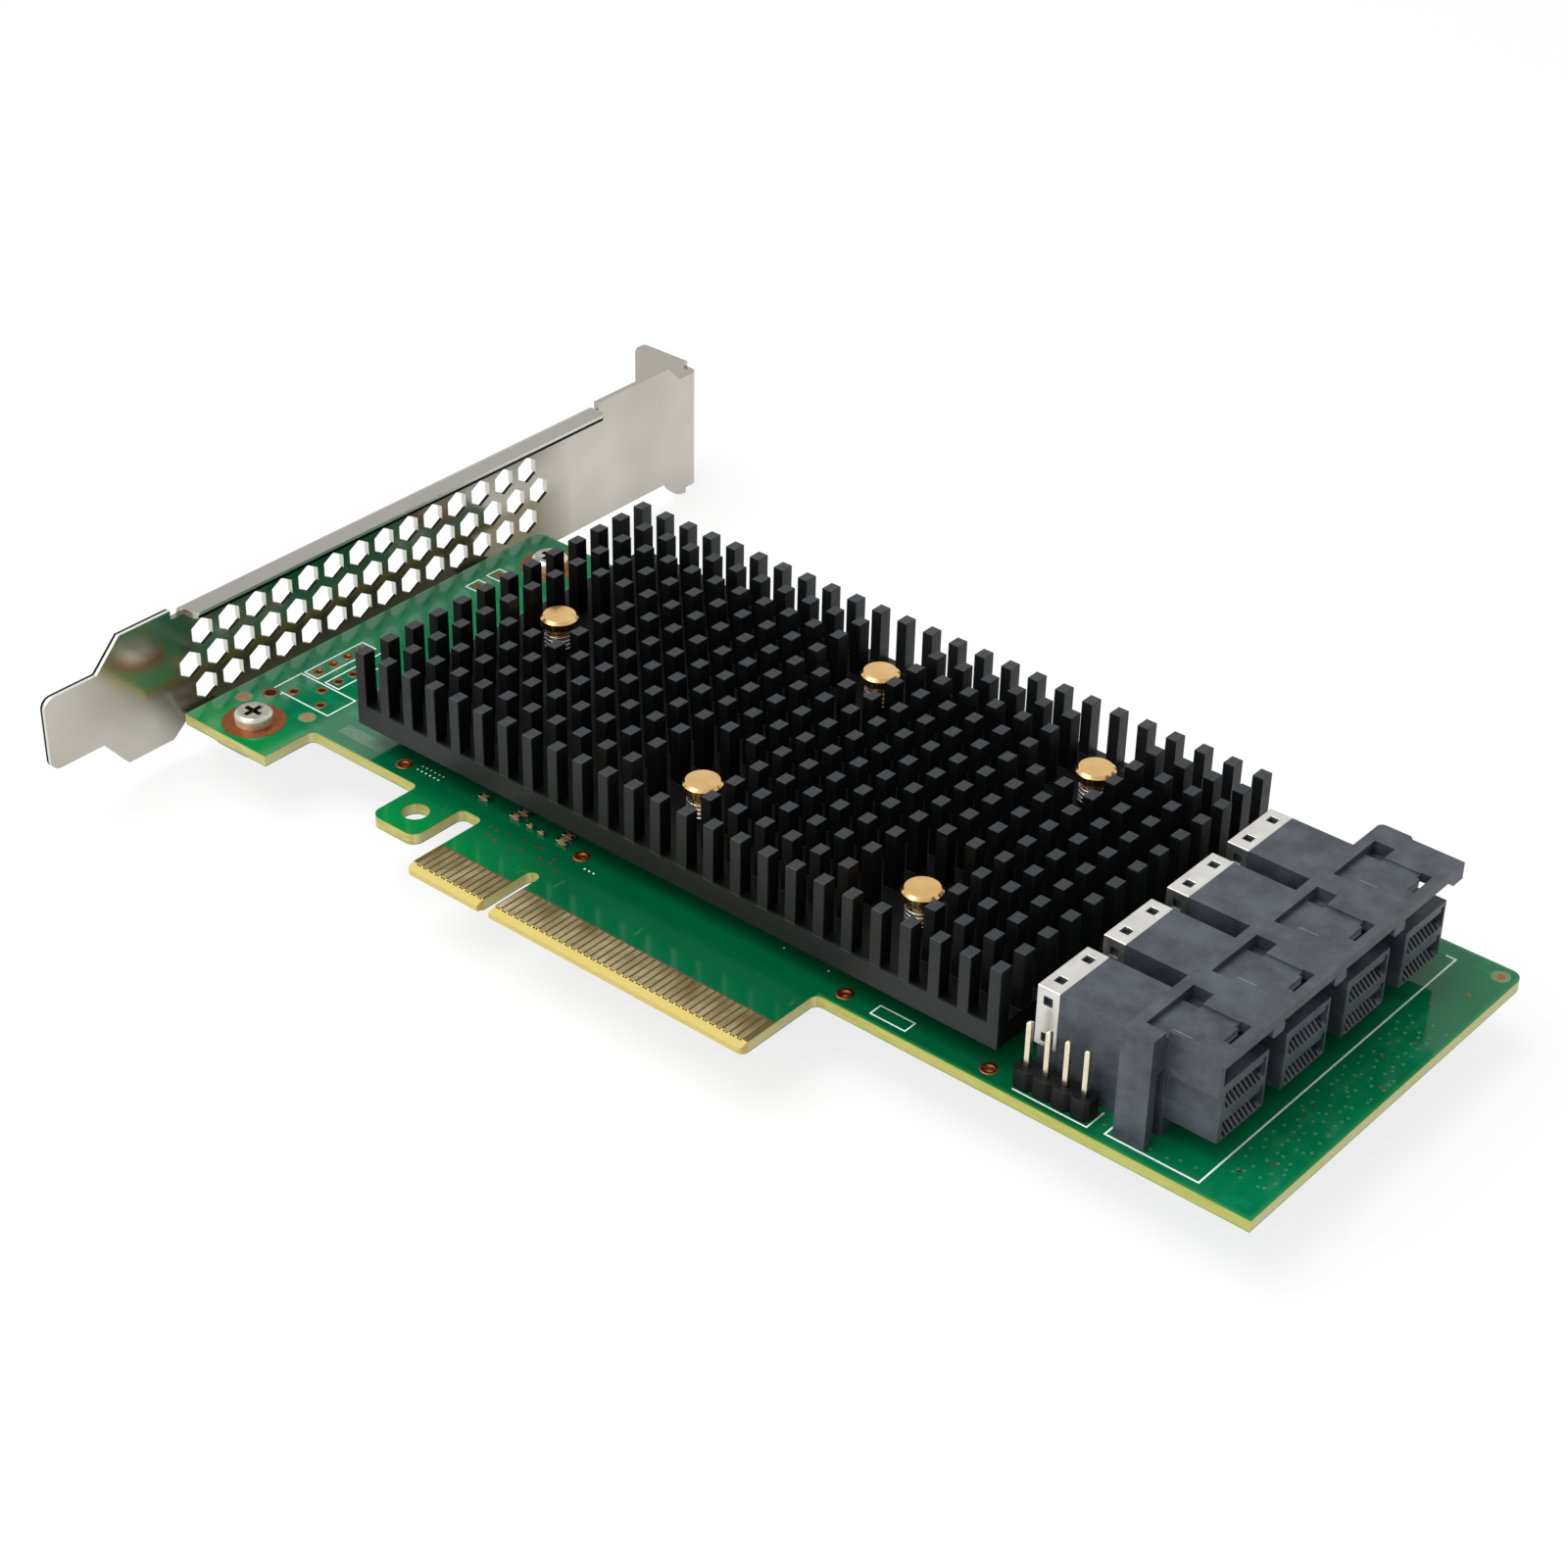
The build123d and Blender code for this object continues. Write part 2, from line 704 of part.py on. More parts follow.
# Connector housing: beam on legs and walls, with a thin plate over the ports
with BuildPart() as connector_housing:
    plate_bottom = housing_top - housing_plate_thickness
    nose_side = first_port + nose_offset
    wall_side = nose_side - side_wall_thickness
    end_bottom = housing_top - housing_end_block
    with BuildSketch(level(port_block_height)) as beam:
        rectangle(housing_rear, housing_step, housing_low_end, housing_high_end)
        fillet(beam.vertices().group_by(Axis.X)[0], housing_corner_radius)
    extrude(amount=housing_top - port_block_height)
    with BuildSketch(level(plate_bottom)) as plate:
        rectangle(housing_step, housing_front, wall_side, housing_plate_high_end)
        with BuildLine():
            Polyline(
                (housing_step, housing_plate_high_end),
                (housing_step, housing_high_end),
                (housing_step + housing_step_chamfer, housing_plate_high_end),
                close=True,
            )
        make_face()
    extrude(amount=housing_plate_thickness)

    # Ends, legs and the walls between the ports
    with BuildSketch(section_across(housing_rear)):
        last_block_end = port_start(port_count - 1) + port_block_width
        rectangle(housing_low_end, first_port, end_bottom, port_block_height)
        rectangle(housing_low_end, housing_low_end + housing_leg_thickness, 0, end_bottom)
        rectangle(last_block_end, housing_high_end, end_bottom, port_block_height)
        rectangle(housing_high_end - housing_leg_thickness, housing_high_end, 0, end_bottom)
        for port in range(port_count - 1):
            rectangle(port_start(port) + port_block_width, port_start(port + 1), 0, port_block_height)
    extrude(amount=housing_step - housing_rear)

    # Side wall of the first port and the tabs that hang from the plate beside each nose
    with BuildSketch(section_across(housing_step)):
        rectangle(wall_side, nose_side + nose_ledge_depth, side_wall_bottom, plate_bottom)
    extrude(amount=nose_front - housing_step)
    with BuildSketch(section_across(housing_front - hanging_tab_length)) as tabs:
        tab_bottom = plate_bottom - hanging_tab_drop
        for port in range(port_count - 1):
            tab_start = port_start(port) + hanging_tab_offset
            rectangle(tab_start, tab_start + hanging_tab_width, tab_bottom, plate_bottom)
        fillet(tabs.vertices().group_by(Axis.Z)[0], hanging_tab_radius)
        hook_start = housing_plate_high_end - hook_width
        with BuildLine():
            Polyline(
                (hook_start - hook_ramp, plate_bottom),
                (hook_start, plate_bottom - hook_drop),
                (housing_plate_high_end, plate_bottom - hook_drop),
                (housing_plate_high_end, plate_bottom),
                close=True,
            )
        make_face()
    extrude(amount=hanging_tab_length)

    # Recesses and latch windows in the top
    for port in range(port_count):
        recess_start = port_start(port) + latch_recess_offset
        recess_end = recess_start + latch_recess_width
        panel_start = port_start(port) + panel_recess_offset
        window_start = port_start(port) + window_offset
        top = (housing_top - latch_recess_depth, housing_top)
        deep = (housing_top - latch_pocket_depth, housing_top)
        shallow = (housing_top - panel_recess_depth, housing_top)
        through = (plate_bottom, housing_top)
        block((latch_recess_rear, housing_step), (recess_start, recess_end), top, mode=Mode.SUBTRACT)
        pocket = (recess_end - latch_pocket_width, recess_end)
        block((latch_recess_rear, housing_step), pocket, deep, mode=Mode.SUBTRACT)
        panel = (panel_start, panel_start + panel_recess_width)
        block((housing_step, panel_recess_front), panel, shallow, mode=Mode.SUBTRACT)
        window = (window_start, window_start + window_width)
        block((window_rear, panel_recess_front), window, through, mode=Mode.SUBTRACT)
        window_far = (window[1] - window_end_width, window[1])
        block((window_end_rear, window_rear), window_far, through, mode=Mode.SUBTRACT)
connector_housing.part.label = "connector_housing"
export_step(connector_housing.part, "parts/connector_housing.step")

# Ports: an insert with its nose, its contact blades and its rear clip, four times
for port in range(port_count):
    start = port_start(port)
    end = start + port_block_width
    nose_start = start + nose_offset
    clip_front = port_block_rear
    clip_rear = clip_front - clip_length
    clip_middle = clip_front - clip_length / 2

    with BuildPart() as port_insert:
        with BuildSketch(section_across(port_block_rear)):
            rectangle(start, end, 0, port_block_height)
            rectangle(start, start + block_ledge_depth, 0, block_ledge_height, mode=Mode.SUBTRACT)
        extrude(amount=block_front - port_block_rear)
        with BuildSketch(section_across(clip_rear + clip_sheet)):
            rectangle(start + clip_sheet, end - clip_sheet, 0, port_block_height - clip_sheet)
        extrude(amount=clip_length - clip_sheet)
        with BuildSketch(section_across(block_front)):
            nose_top = nose_bottom + nose_height
            rectangle(nose_start, nose_start + nose_width, nose_bottom, nose_top)
            ledge_side = nose_start + nose_ledge_depth
            rectangle(nose_start, ledge_side, nose_ledge_height, nose_top, mode=Mode.SUBTRACT)
        extrude(amount=nose_front - block_front)

        # Shallow pockets behind the holes of the rear clip
        with BuildSketch(level(port_block_height - clip_sheet)):
            with Locations(*[(clip_middle, start + y) for y in clip_top_holes]):
                Rectangle(clip_hole, clip_hole)
        extrude(amount=-clip_pocket_depth, mode=Mode.SUBTRACT)
        with BuildSketch(section_along(start + clip_sheet)):
            with Locations(*[(clip_middle, height) for height in clip_side_holes]):
                Rectangle(clip_hole, clip_hole)
        extrude(amount=-clip_pocket_depth, mode=Mode.SUBTRACT)

        # Each row of contacts lies in a recess with a sloped floor
        with BuildSketch(section_along(start + comb_offset)):
            for row_height in slot_row_heights:
                row_top = row_height + slot_height
                with BuildLine():
                    Polyline(
                        (nose_front, row_height),
                        (nose_front, row_top),
                        (nose_front - comb_depth, row_top),
                        (nose_front - comb_depth, row_height + comb_depth),
                        close=True,
                    )
                make_face()
        extrude(amount=-comb_width, mode=Mode.SUBTRACT)

        # Two rows of contact slots and the wider cavity at the end of each row
        with BuildSketch(section_across(nose_front)):
            for row_height in slot_row_heights:
                for i in range(slot_count):
                    slot_middle = start + slot_first + i * slot_pitch
                    rectangle(
                        slot_middle - slot_width / 2,
                        slot_middle + slot_width / 2,
                        row_height,
                        row_height + slot_height,
                    )
                cavity_start = start + key_cavity_offset
                rectangle(
                    cavity_start,
                    cavity_start + key_cavity_width,
                    row_height + key_cavity_rise,
                    row_height + key_cavity_rise + slot_height,
                )
        extrude(amount=-slot_depth, mode=Mode.SUBTRACT)
    port_insert.part.label = f"port_insert_{port + 1}"
    export_step(port_insert.part, f"parts/port_insert_{port + 1}.step")

    with BuildPart() as port_contacts:
        with BuildSketch(section_across(nose_front - slot_depth)):
            for row_height in slot_row_heights:
                for i in range(slot_count):
                    slot_middle = start + slot_first + i * slot_pitch
                    rectangle(
                        slot_middle - blade_width / 2,
                        slot_middle + blade_width / 2,
                        row_height,
                        row_height + blade_height,
                    )
        extrude(amount=blade_length)
    port_contacts.part.label = f"port_contacts_{port + 1}"
    export_step(port_contacts.part, f"parts/port_contacts_{port + 1}.step")

    with BuildPart() as rear_clip:
        with BuildSketch(section_across(clip_rear)):
            rectangle(start, end, clip_bottom, port_block_height)
        extrude(amount=clip_length)
        inside = (start + clip_sheet, end - clip_sheet)
        below_top = (clip_bottom, port_block_height - clip_sheet)
        block((clip_rear + clip_sheet, clip_front), inside, below_top, mode=Mode.SUBTRACT)
        with BuildSketch(level(port_block_height)):
            with Locations(*[(clip_middle, start + y) for y in clip_top_holes]):
                Rectangle(clip_hole, clip_hole)
        extrude(amount=-clip_sheet, mode=Mode.SUBTRACT)
        with BuildSketch(section_along(start)):
            with Locations(*[(clip_middle, height) for height in clip_side_holes]):
                Rectangle(clip_hole, clip_hole)
        extrude(amount=-clip_sheet, mode=Mode.SUBTRACT)
    rear_clip.part.label = f"rear_clip_{port + 1}"
    export_step(rear_clip.part, f"parts/rear_clip_{port + 1}.step")

# Pin header: a base of four notched segments and square pins that pass through the board
header_places = [(header_first_pin + i * header_pitch, header_row) for i in range(header_pins_count)]
with BuildSketch() as header_segment:
    Rectangle(header_pitch, header_depth)
    chamfer(header_segment.vertices(), header_notch)
with BuildPart() as header_base:
    with BuildSketch(level(0)):
        with Locations(*header_places):
            add(header_segment.sketch)
        with Locations(*header_places):
            Rectangle(header_pin_width, header_pin_width, mode=Mode.SUBTRACT)
    extrude(amount=header_height)
header_base.part.label = "header_base"
export_step(header_base.part, "parts/header_base.step")

with BuildPart() as header_pins:
    with BuildSketch(level(-board_thickness - header_tail)):
        with Locations(*header_places):
            Rectangle(header_pin_width, header_pin_width)
    extrude(amount=board_thickness + header_tail + header_pin_top)
    chamfer(header_pins.faces().group_by(Axis.Z)[-1].edges(), header_pin_tip)
header_pins.part.label = "header_pins"
export_step(header_pins.part, "parts/header_pins.step")

# Small chip components: ceramic bodies between two soldered ends
with BuildPart() as chip_bodies:
    for x, y, length, width, height in small_chips:
        end_length = length * terminal_share
        block(
            (x - length / 2 + end_length, x + length / 2 - end_length),
            (y - width / 2, y + width / 2),
            (0, height),
        )
chip_bodies.part.label = "chip_bodies"
export_step(chip_bodies.part, "parts/chip_bodies.step")

with BuildPart() as chip_terminals:
    for x, y, length, width, height in small_chips:
        end_length = length * terminal_share
        across = (y - width / 2, y + width / 2)
        block((x - length / 2, x - length / 2 + end_length), across, (0, height))
        block((x + length / 2 - end_length, x + length / 2), across, (0, height))
chip_terminals.part.label = "chip_terminals"
export_step(chip_terminals.part, "parts/chip_terminals.step")
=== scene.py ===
"""Looks of the host bus adapter: finishes, soldered detail, studio light and camera.

Lengths are in board millimetres unless a name says otherwise: x runs along the card from its
bracket end, y across it from the tips of the edge contacts, and z up from the board's top face.
"""
import json
import math

import bpy
import numpy as np
from mathutils import Matrix, Vector


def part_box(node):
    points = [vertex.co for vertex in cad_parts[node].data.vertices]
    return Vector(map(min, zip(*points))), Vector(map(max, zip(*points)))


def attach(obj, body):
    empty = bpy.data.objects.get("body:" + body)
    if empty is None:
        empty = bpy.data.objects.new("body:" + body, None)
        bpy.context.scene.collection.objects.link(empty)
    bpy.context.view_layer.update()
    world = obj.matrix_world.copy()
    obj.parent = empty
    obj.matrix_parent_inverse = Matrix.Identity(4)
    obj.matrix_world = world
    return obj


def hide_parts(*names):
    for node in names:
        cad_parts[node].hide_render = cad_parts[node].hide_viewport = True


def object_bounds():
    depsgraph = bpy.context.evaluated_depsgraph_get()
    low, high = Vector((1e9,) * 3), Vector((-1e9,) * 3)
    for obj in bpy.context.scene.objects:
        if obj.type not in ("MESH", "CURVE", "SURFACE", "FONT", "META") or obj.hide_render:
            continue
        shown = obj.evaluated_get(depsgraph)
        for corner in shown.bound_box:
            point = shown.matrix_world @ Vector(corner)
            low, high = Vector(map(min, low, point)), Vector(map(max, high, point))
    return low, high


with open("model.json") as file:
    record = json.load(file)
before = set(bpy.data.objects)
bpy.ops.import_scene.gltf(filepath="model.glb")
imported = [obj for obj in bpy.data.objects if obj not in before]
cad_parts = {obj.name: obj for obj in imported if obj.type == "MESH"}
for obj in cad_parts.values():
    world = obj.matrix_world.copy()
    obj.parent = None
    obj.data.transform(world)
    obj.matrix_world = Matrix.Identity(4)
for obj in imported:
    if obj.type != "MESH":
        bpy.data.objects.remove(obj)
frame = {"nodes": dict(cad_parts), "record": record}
cad_low, cad_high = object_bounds()
nodes = frame["nodes"]

MM = 0.001
PER_MM = 1000.0
board_low, board_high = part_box("circuit_board")
BOARD_ORIGIN = np.array([board_low.x, board_low.y, board_high.z])
BOARD_LENGTH = (board_high.x - board_low.x) / MM
BOARD_DEPTH = (board_high.y - board_low.y) / MM
BOARD_THICKNESS = (board_high.z - board_low.z) / MM

# The front edge, and the finger block that reaches further forward up to its right end
FRONT_EDGE = 12.85
FINGER_BLOCK_REACH = 9.0
FINGER_BLOCK_RIGHT = 97.2

# Regions of the solder mask along x or y, each from where it starts to where it is full
BRACKET_END = (30.0, 22.0)
PORT_END = (130.0, 142.0)
FRONT_STRIP = (14.0, 7.0)
BESIDE_BLOCK = (62.0, 40.0)
# BEHIND_FRONT, with PAST_EAR, bounds the painted light that lifts the shade next to the sink
BEHIND_FRONT = (13.0, 17.5)
PAST_EAR = (22.0, 32.0)

# The bracket's plate: its inner side, the middle of its thickness, and the stretch that holds the vents
PLATE_INNER = -3.9
PLATE_MIDDLE = -4.43
VENTS_FRONT = 7.0
VENTS_FROM_TOP = 31.0

HEADER_PITCH = 2.54
PUSH_PINS = [(31.0, 41.0), (69.9, 24.5), (102.6, 24.5), (69.9, 57.5), (102.6, 57.5)]
CAMERA_MARK = (153.1, 66.85)
BIG_HOLE = (4.18, 15.43)


def in_board(point):
    """A point of the frame, in metres, as board millimetres."""
    return (np.array(point) - BOARD_ORIGIN) / MM


def node_box(name):
    """The lowest and highest corner of a CAD node in board millimetres."""
    low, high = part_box(name)
    return in_board(low), in_board(high)


# Colour and material helpers

# The sockets of a Mix node that mixes colours: three inputs and the output
SHARE, UNDER, OVER, MIXED = 0, 6, 7, 2


def colour(code):
    """An sRGB hex colour as linear RGBA."""
    values = [int(code[i:i + 2], 16) / 255 for i in (1, 3, 5)]
    linear = [v / 12.92 if v <= 0.04045 else ((v + 0.055) / 1.055) ** 2.4 for v in values]
    return (*linear, 1.0)


def connect(tree, node, inputs):
    """Give a node its inputs: a socket is linked, a hex colour or a number is set."""
    for name, value in inputs.items():
        if isinstance(value, bpy.types.NodeSocket):
            tree.links.new(value, node.inputs[name])
        else:
            node.inputs[name].default_value = colour(value) if isinstance(value, str) else value


def add_node(tree, kind, inputs=(), output=0, stops=(), **settings):
    """Add a shader node with its settings, its inputs in order or by name, and the stops of its colour ramp.

    Returns the wanted output, or all of them when output is None.
    """
    made = tree.nodes.new("ShaderNode" + kind)
    for name, value in settings.items():
        setattr(made, name, value)
    connect(tree, made, inputs if isinstance(inputs, dict) else dict(enumerate(inputs)))
    for _ in stops[2:]:
        made.color_ramp.elements.new(0.5)
    for place, (position, code) in enumerate(stops):
        made.color_ramp.elements[place].position = position
        made.color_ramp.elements[place].color = colour(code)
    return made.outputs if output is None else made.outputs[output]


def new_material(name, base, roughness, metallic=0.0, **inputs):
    """A material with one Principled shader; returns it, its tree, its shader and its Object coordinates."""
    material = bpy.data.materials.new(name)
    material.use_nodes = True
    tree = material.node_tree
    shader = tree.nodes["Principled BSDF"]
    connect(tree, shader, {"Base Color": base, "Roughness": roughness, "Metallic": metallic, **inputs})
    return material, tree, shader, add_node(tree, "TexCoord", output="Object")


def board_axes(tree, place):
    """The x, y and z of the shaded point in board millimetres."""
    moved = {"Vector": place, "Location": -BOARD_ORIGIN / MM, "Scale": (PER_MM,) * 3}
    return add_node(tree, "SeparateXYZ", [add_node(tree, "Mapping", moved)], None)


def normal_axes(tree, kind="Normal"):
    """The x, y and z of the shaded point's normal."""
    return add_node(tree, "SeparateXYZ", [add_node(tree, "NewGeometry", output=kind)], None)


def zone(tree, *limits):
    """1 where every given value lies between its low and high limit, or past its only one, and else 0."""
    inside = None
    for value, low, high in limits:
        for bound, operation in ((low, "GREATER_THAN"), (high, "LESS_THAN")):
            if bound is None:
                continue
            test = add_node(tree, "Math", [value, bound], operation=operation)
            if inside is None:
                inside = test
            else:
                inside = add_node(tree, "Math", [inside, test], operation="MULTIPLY")
    return inside


# Finishes

def mask_green(tree, place, spot, left, right):
    """The solder mask's green, region by region, and the bare laminate between the edge contacts.

    It is mottled, darker through the middle in front of the sink and lighter towards the left and right end;
    painted light lightens it behind the front strip and beside the cut edges.
    """
    mottle = add_node(tree, "TexNoise", {"Vector": place, "Scale": PER_MM / 16.0, "Roughness": 0.55})
    deep, light = (
        add_node(tree, "ValToRGB", [mottle], stops=list(zip((0.3, 0.55, 0.8), greens)))
        for greens in (("#00482a", "#00502f", "#045b37"), ("#005f3c", "#026a44", "#07774e"))
    )
    ends = add_node(tree, "Math", [left, right], operation="MAXIMUM")
    green = add_node(tree, "Mix", {SHARE: ends, UNDER: deep, OVER: light}, MIXED, data_type="RGBA")

    # Copper fields below the mask show as lighter patches with thin darker gaps between them
    drawn = add_node(tree, "Mapping", {"Vector": place, "Scale": (0.35, 1.0, 1.0)})
    cells = add_node(
        tree, "TexVoronoi", {"Vector": drawn, "Scale": PER_MM / 3.4}, distance="CHEBYCHEV", feature="F2",
    )
    patches = add_node(tree, "MapRange", [cells, 0.62, 0.66, 0.0, 0.3])
    patches = add_node(tree, "Math", [patches, ends], operation="MULTIPLY")

    # Brighter towards the front, most of all on the hold-down tab, and scuffed where cards are pushed in
    front = add_node(tree, "MapRange", [spot["Y"], *FRONT_STRIP])
    bright = add_node(tree, "Math", [front, 0.3], operation="MULTIPLY")
    beside_block = add_node(tree, "MapRange", [spot["X"], *BESIDE_BLOCK, 0.0, 0.9])
    tab = add_node(tree, "Math", [front, beside_block], operation="MULTIPLY")
    # Painted light: behind the front strip and past the ear the mask is painted lighter, lifting the shade
    # that falls next to the sink
    rear = add_node(tree, "MapRange", [spot["Y"], *BEHIND_FRONT, 0.0, 0.3])
    past_ear = add_node(tree, "MapRange", [spot["X"], *PAST_EAR])
    painted_lift_by_sink = add_node(tree, "Math", [rear, past_ear], operation="MULTIPLY")
    rubbed = add_node(tree, "Mapping", {"Vector": place, "Scale": (1.0, 0.2, 1.0)})
    scuffs = add_node(
        tree, "TexNoise", {"Vector": rubbed, "Scale": PER_MM / 0.9, "Detail": 4.0, "Roughness": 0.6},
    )
    scuffs = add_node(tree, "MapRange", [scuffs, 0.64, 0.74])
    scuffs = add_node(tree, "Math", [scuffs, bright], operation="MULTIPLY")

    # Painted light: beside a cut edge the mask is painted paler, for the light that comes through the
    # laminate there
    block = add_node(tree, "MapRange", [spot["X"], FINGER_BLOCK_RIGHT + 0.1, FINGER_BLOCK_RIGHT - 0.1])
    front_edge = add_node(tree, "Math", [block, -FINGER_BLOCK_REACH, FRONT_EDGE], operation="MULTIPLY_ADD")
    inward = add_node(tree, "Math", [spot["Y"], front_edge], operation="SUBTRACT")
    from_end = add_node(tree, "Math", [BOARD_LENGTH, spot["X"]], operation="SUBTRACT")
    from_back = add_node(tree, "Math", [BOARD_DEPTH, spot["Y"]], operation="SUBTRACT")
    nearest = inward
    for distance in (from_end, from_back, spot["X"]):
        nearest = add_node(tree, "Math", [nearest, distance], operation="MINIMUM")
    glow = add_node(tree, "MapRange", [nearest, 0.55, 0.1, 0.0, 0.38])

    # The edge contacts stand on bare laminate
    fingers_low, fingers_high = node_box("edge_contacts_top")
    bare = zone(tree, (spot["Y"], None, fingers_high[1] + 0.2), (spot["X"], fingers_low[0] - 1.0, None))
    for share, tint in (
        (patches, "#0f8556"), (bright, "#0a6f44"), (tab, "#02803c"), (painted_lift_by_sink, "#017a4a"),
        (scuffs, "#7fae93"), (glow, "#3a9644"), (bare, "#5e4f2d"),
    ):
        green = add_node(tree, "Mix", {SHARE: share, UNDER: green, OVER: tint}, MIXED, data_type="RGBA")
    return green


def cut_laminate(tree, place, spot, turn):
    """The board's cut edge: pale yellow laminate with faint layers, green where the mask runs over."""
    plies = add_node(tree, "Mapping", {"Vector": place, "Scale": (0.12, 0.12, 1.0)})
    plies = add_node(
        tree, "TexNoise", {"Vector": plies, "Scale": PER_MM / 0.35, "Detail": 3.0, "Roughness": 0.6},
    )
    laminate = add_node(
        tree, "ValToRGB", [plies], stops=[(0.25, "#a09850"), (0.5, "#b3aa60"), (0.8, "#c3bb74")],
    )
    lime = add_node(tree, "MapRange", [spot["X"], 90.0, 130.0, 0.0, 0.45])
    # Painted light: the cut edge that faces the port end is painted paler, as where light falls on it
    painted_light_port_edge = add_node(tree, "Math", [turn["X"], 0.7], operation="GREATER_THAN")
    painted_light_port_edge = add_node(tree, "Math", [painted_light_port_edge, 0.6], operation="MULTIPLY")
    from_middle = add_node(tree, "Math", [spot["Z"], BOARD_THICKNESS / 2], operation="ADD")
    from_middle = add_node(tree, "Math", [from_middle], operation="ABSOLUTE")
    rim = add_node(tree, "Math", [from_middle, 0.42 * BOARD_THICKNESS], operation="GREATER_THAN")
    bevel_top = node_box("edge_contacts_top")[0][1] + 0.02
    bevel = add_node(tree, "Math", [spot["Y"], bevel_top], operation="LESS_THAN")
    for share, tint in ((lime, "#a5ac4a"), (painted_light_port_edge, "#dcd2a0"), (rim, "#5c9440"), (bevel, "#c4b164")):
        laminate = add_node(
            tree, "Mix", {SHARE: share, UNDER: laminate, OVER: tint}, MIXED, data_type="RGBA",
        )
    return laminate


def solder_mask_board():
    """Glass-epoxy laminate, glossy green solder mask on both faces and bare yellow edges."""
    material, tree, shader, place = new_material("solder_mask_board", "#04663f", 0.2, IOR=1.5)
    spot = board_axes(tree, place)
    turn = normal_axes(tree)
    upright = add_node(tree, "Math", [turn["Z"]], operation="ABSOLUTE")
    flat = add_node(tree, "Math", [upright, 0.95], operation="GREATER_THAN")
    left = add_node(tree, "MapRange", [spot["X"], *BRACKET_END])
    right = add_node(tree, "MapRange", [spot["X"], *PORT_END])
    green = mask_green(tree, place, spot, left, right)
    laminate = cut_laminate(tree, place, spot, turn)

    # The mask is glossiest at the ends and duller along the front
    gloss = add_node(tree, "Math", [left, 0.38, 0.2], operation="MULTIPLY_ADD")
    gloss = add_node(tree, "Math", [right, 0.12, gloss], operation="MULTIPLY_ADD")
    weave = add_node(
        tree, "TexNoise", {"Vector": place, "Scale": PER_MM / 1.8, "Detail": 3.0, "Roughness": 0.55},
    )
    connect(tree, shader, {
        "Base Color": add_node(
            tree, "Mix", {SHARE: flat, UNDER: laminate, OVER: green}, MIXED, data_type="RGBA",
        ),
        "Roughness": add_node(tree, "MapRange", [flat, 0.0, 1.0, 0.55, 0.1]),
        "Specular IOR Level": gloss,
        "Normal": add_node(tree, "Bump", {"Height": weave, "Strength": 0.5, "Distance": 0.015 * MM}),
    })
    return material


def sheared_edges(tree, spot, turn, high):
    """Where the bracket's sheet was cut, and where that cut tore instead of being burnished by the punch; on
    the lip's front edge, a painted highlight above a painted shadow line.
    """
    wall = zone(tree, (turn["X"], -0.3, 0.3), (spot["X"], None, PLATE_INNER))
    in_vents = zone(tree, (spot["Z"], -4.0, 9.8), (spot["Y"], VENTS_FRONT, high[1] - VENTS_FROM_TOP))
    vent_wall = add_node(tree, "Math", [wall, in_vents], operation="MULTIPLY")
    tilt = add_node(tree, "Math", [turn["Z"]], operation="ABSOLUTE")
    vent_torn = zone(tree, (vent_wall, 0.5, None), (tilt, 0.3, None), (spot["X"], PLATE_MIDDLE - 0.03, None))
    outline = zone(tree, (wall, 0.5, None), (spot["Y"], None, VENTS_FRONT))
    outline_torn = zone(tree, (outline, 0.5, None), (spot["X"], None, PLATE_MIDDLE + 0.03))
    # Painted highlight and shadow: the lip's front edge is painted bright, with a painted dark shadow line
    # along its lower part
    painted_lip_highlight = zone(tree, (spot["X"], -3.0, None), (turn["X"], 0.9, None), (spot["Z"], 10.0, None))
    painted_lip_shadow = zone(tree, (painted_lip_highlight, 0.5, None), (spot["Z"], None, high[2] - 0.42))
    burnished_and_lip_highlight = add_node(tree, "Math", [vent_wall, outline], operation="MAXIMUM")
    burnished_and_lip_highlight = add_node(tree, "Math", [burnished_and_lip_highlight, painted_lip_highlight], operation="MAXIMUM")
    torn_and_lip_shadow = add_node(tree, "Math", [vent_torn, outline_torn], operation="MAXIMUM")
    torn_and_lip_shadow = add_node(tree, "Math", [torn_and_lip_shadow, painted_lip_shadow], operation="MAXIMUM")
    return burnished_and_lip_highlight, torn_and_lip_shadow


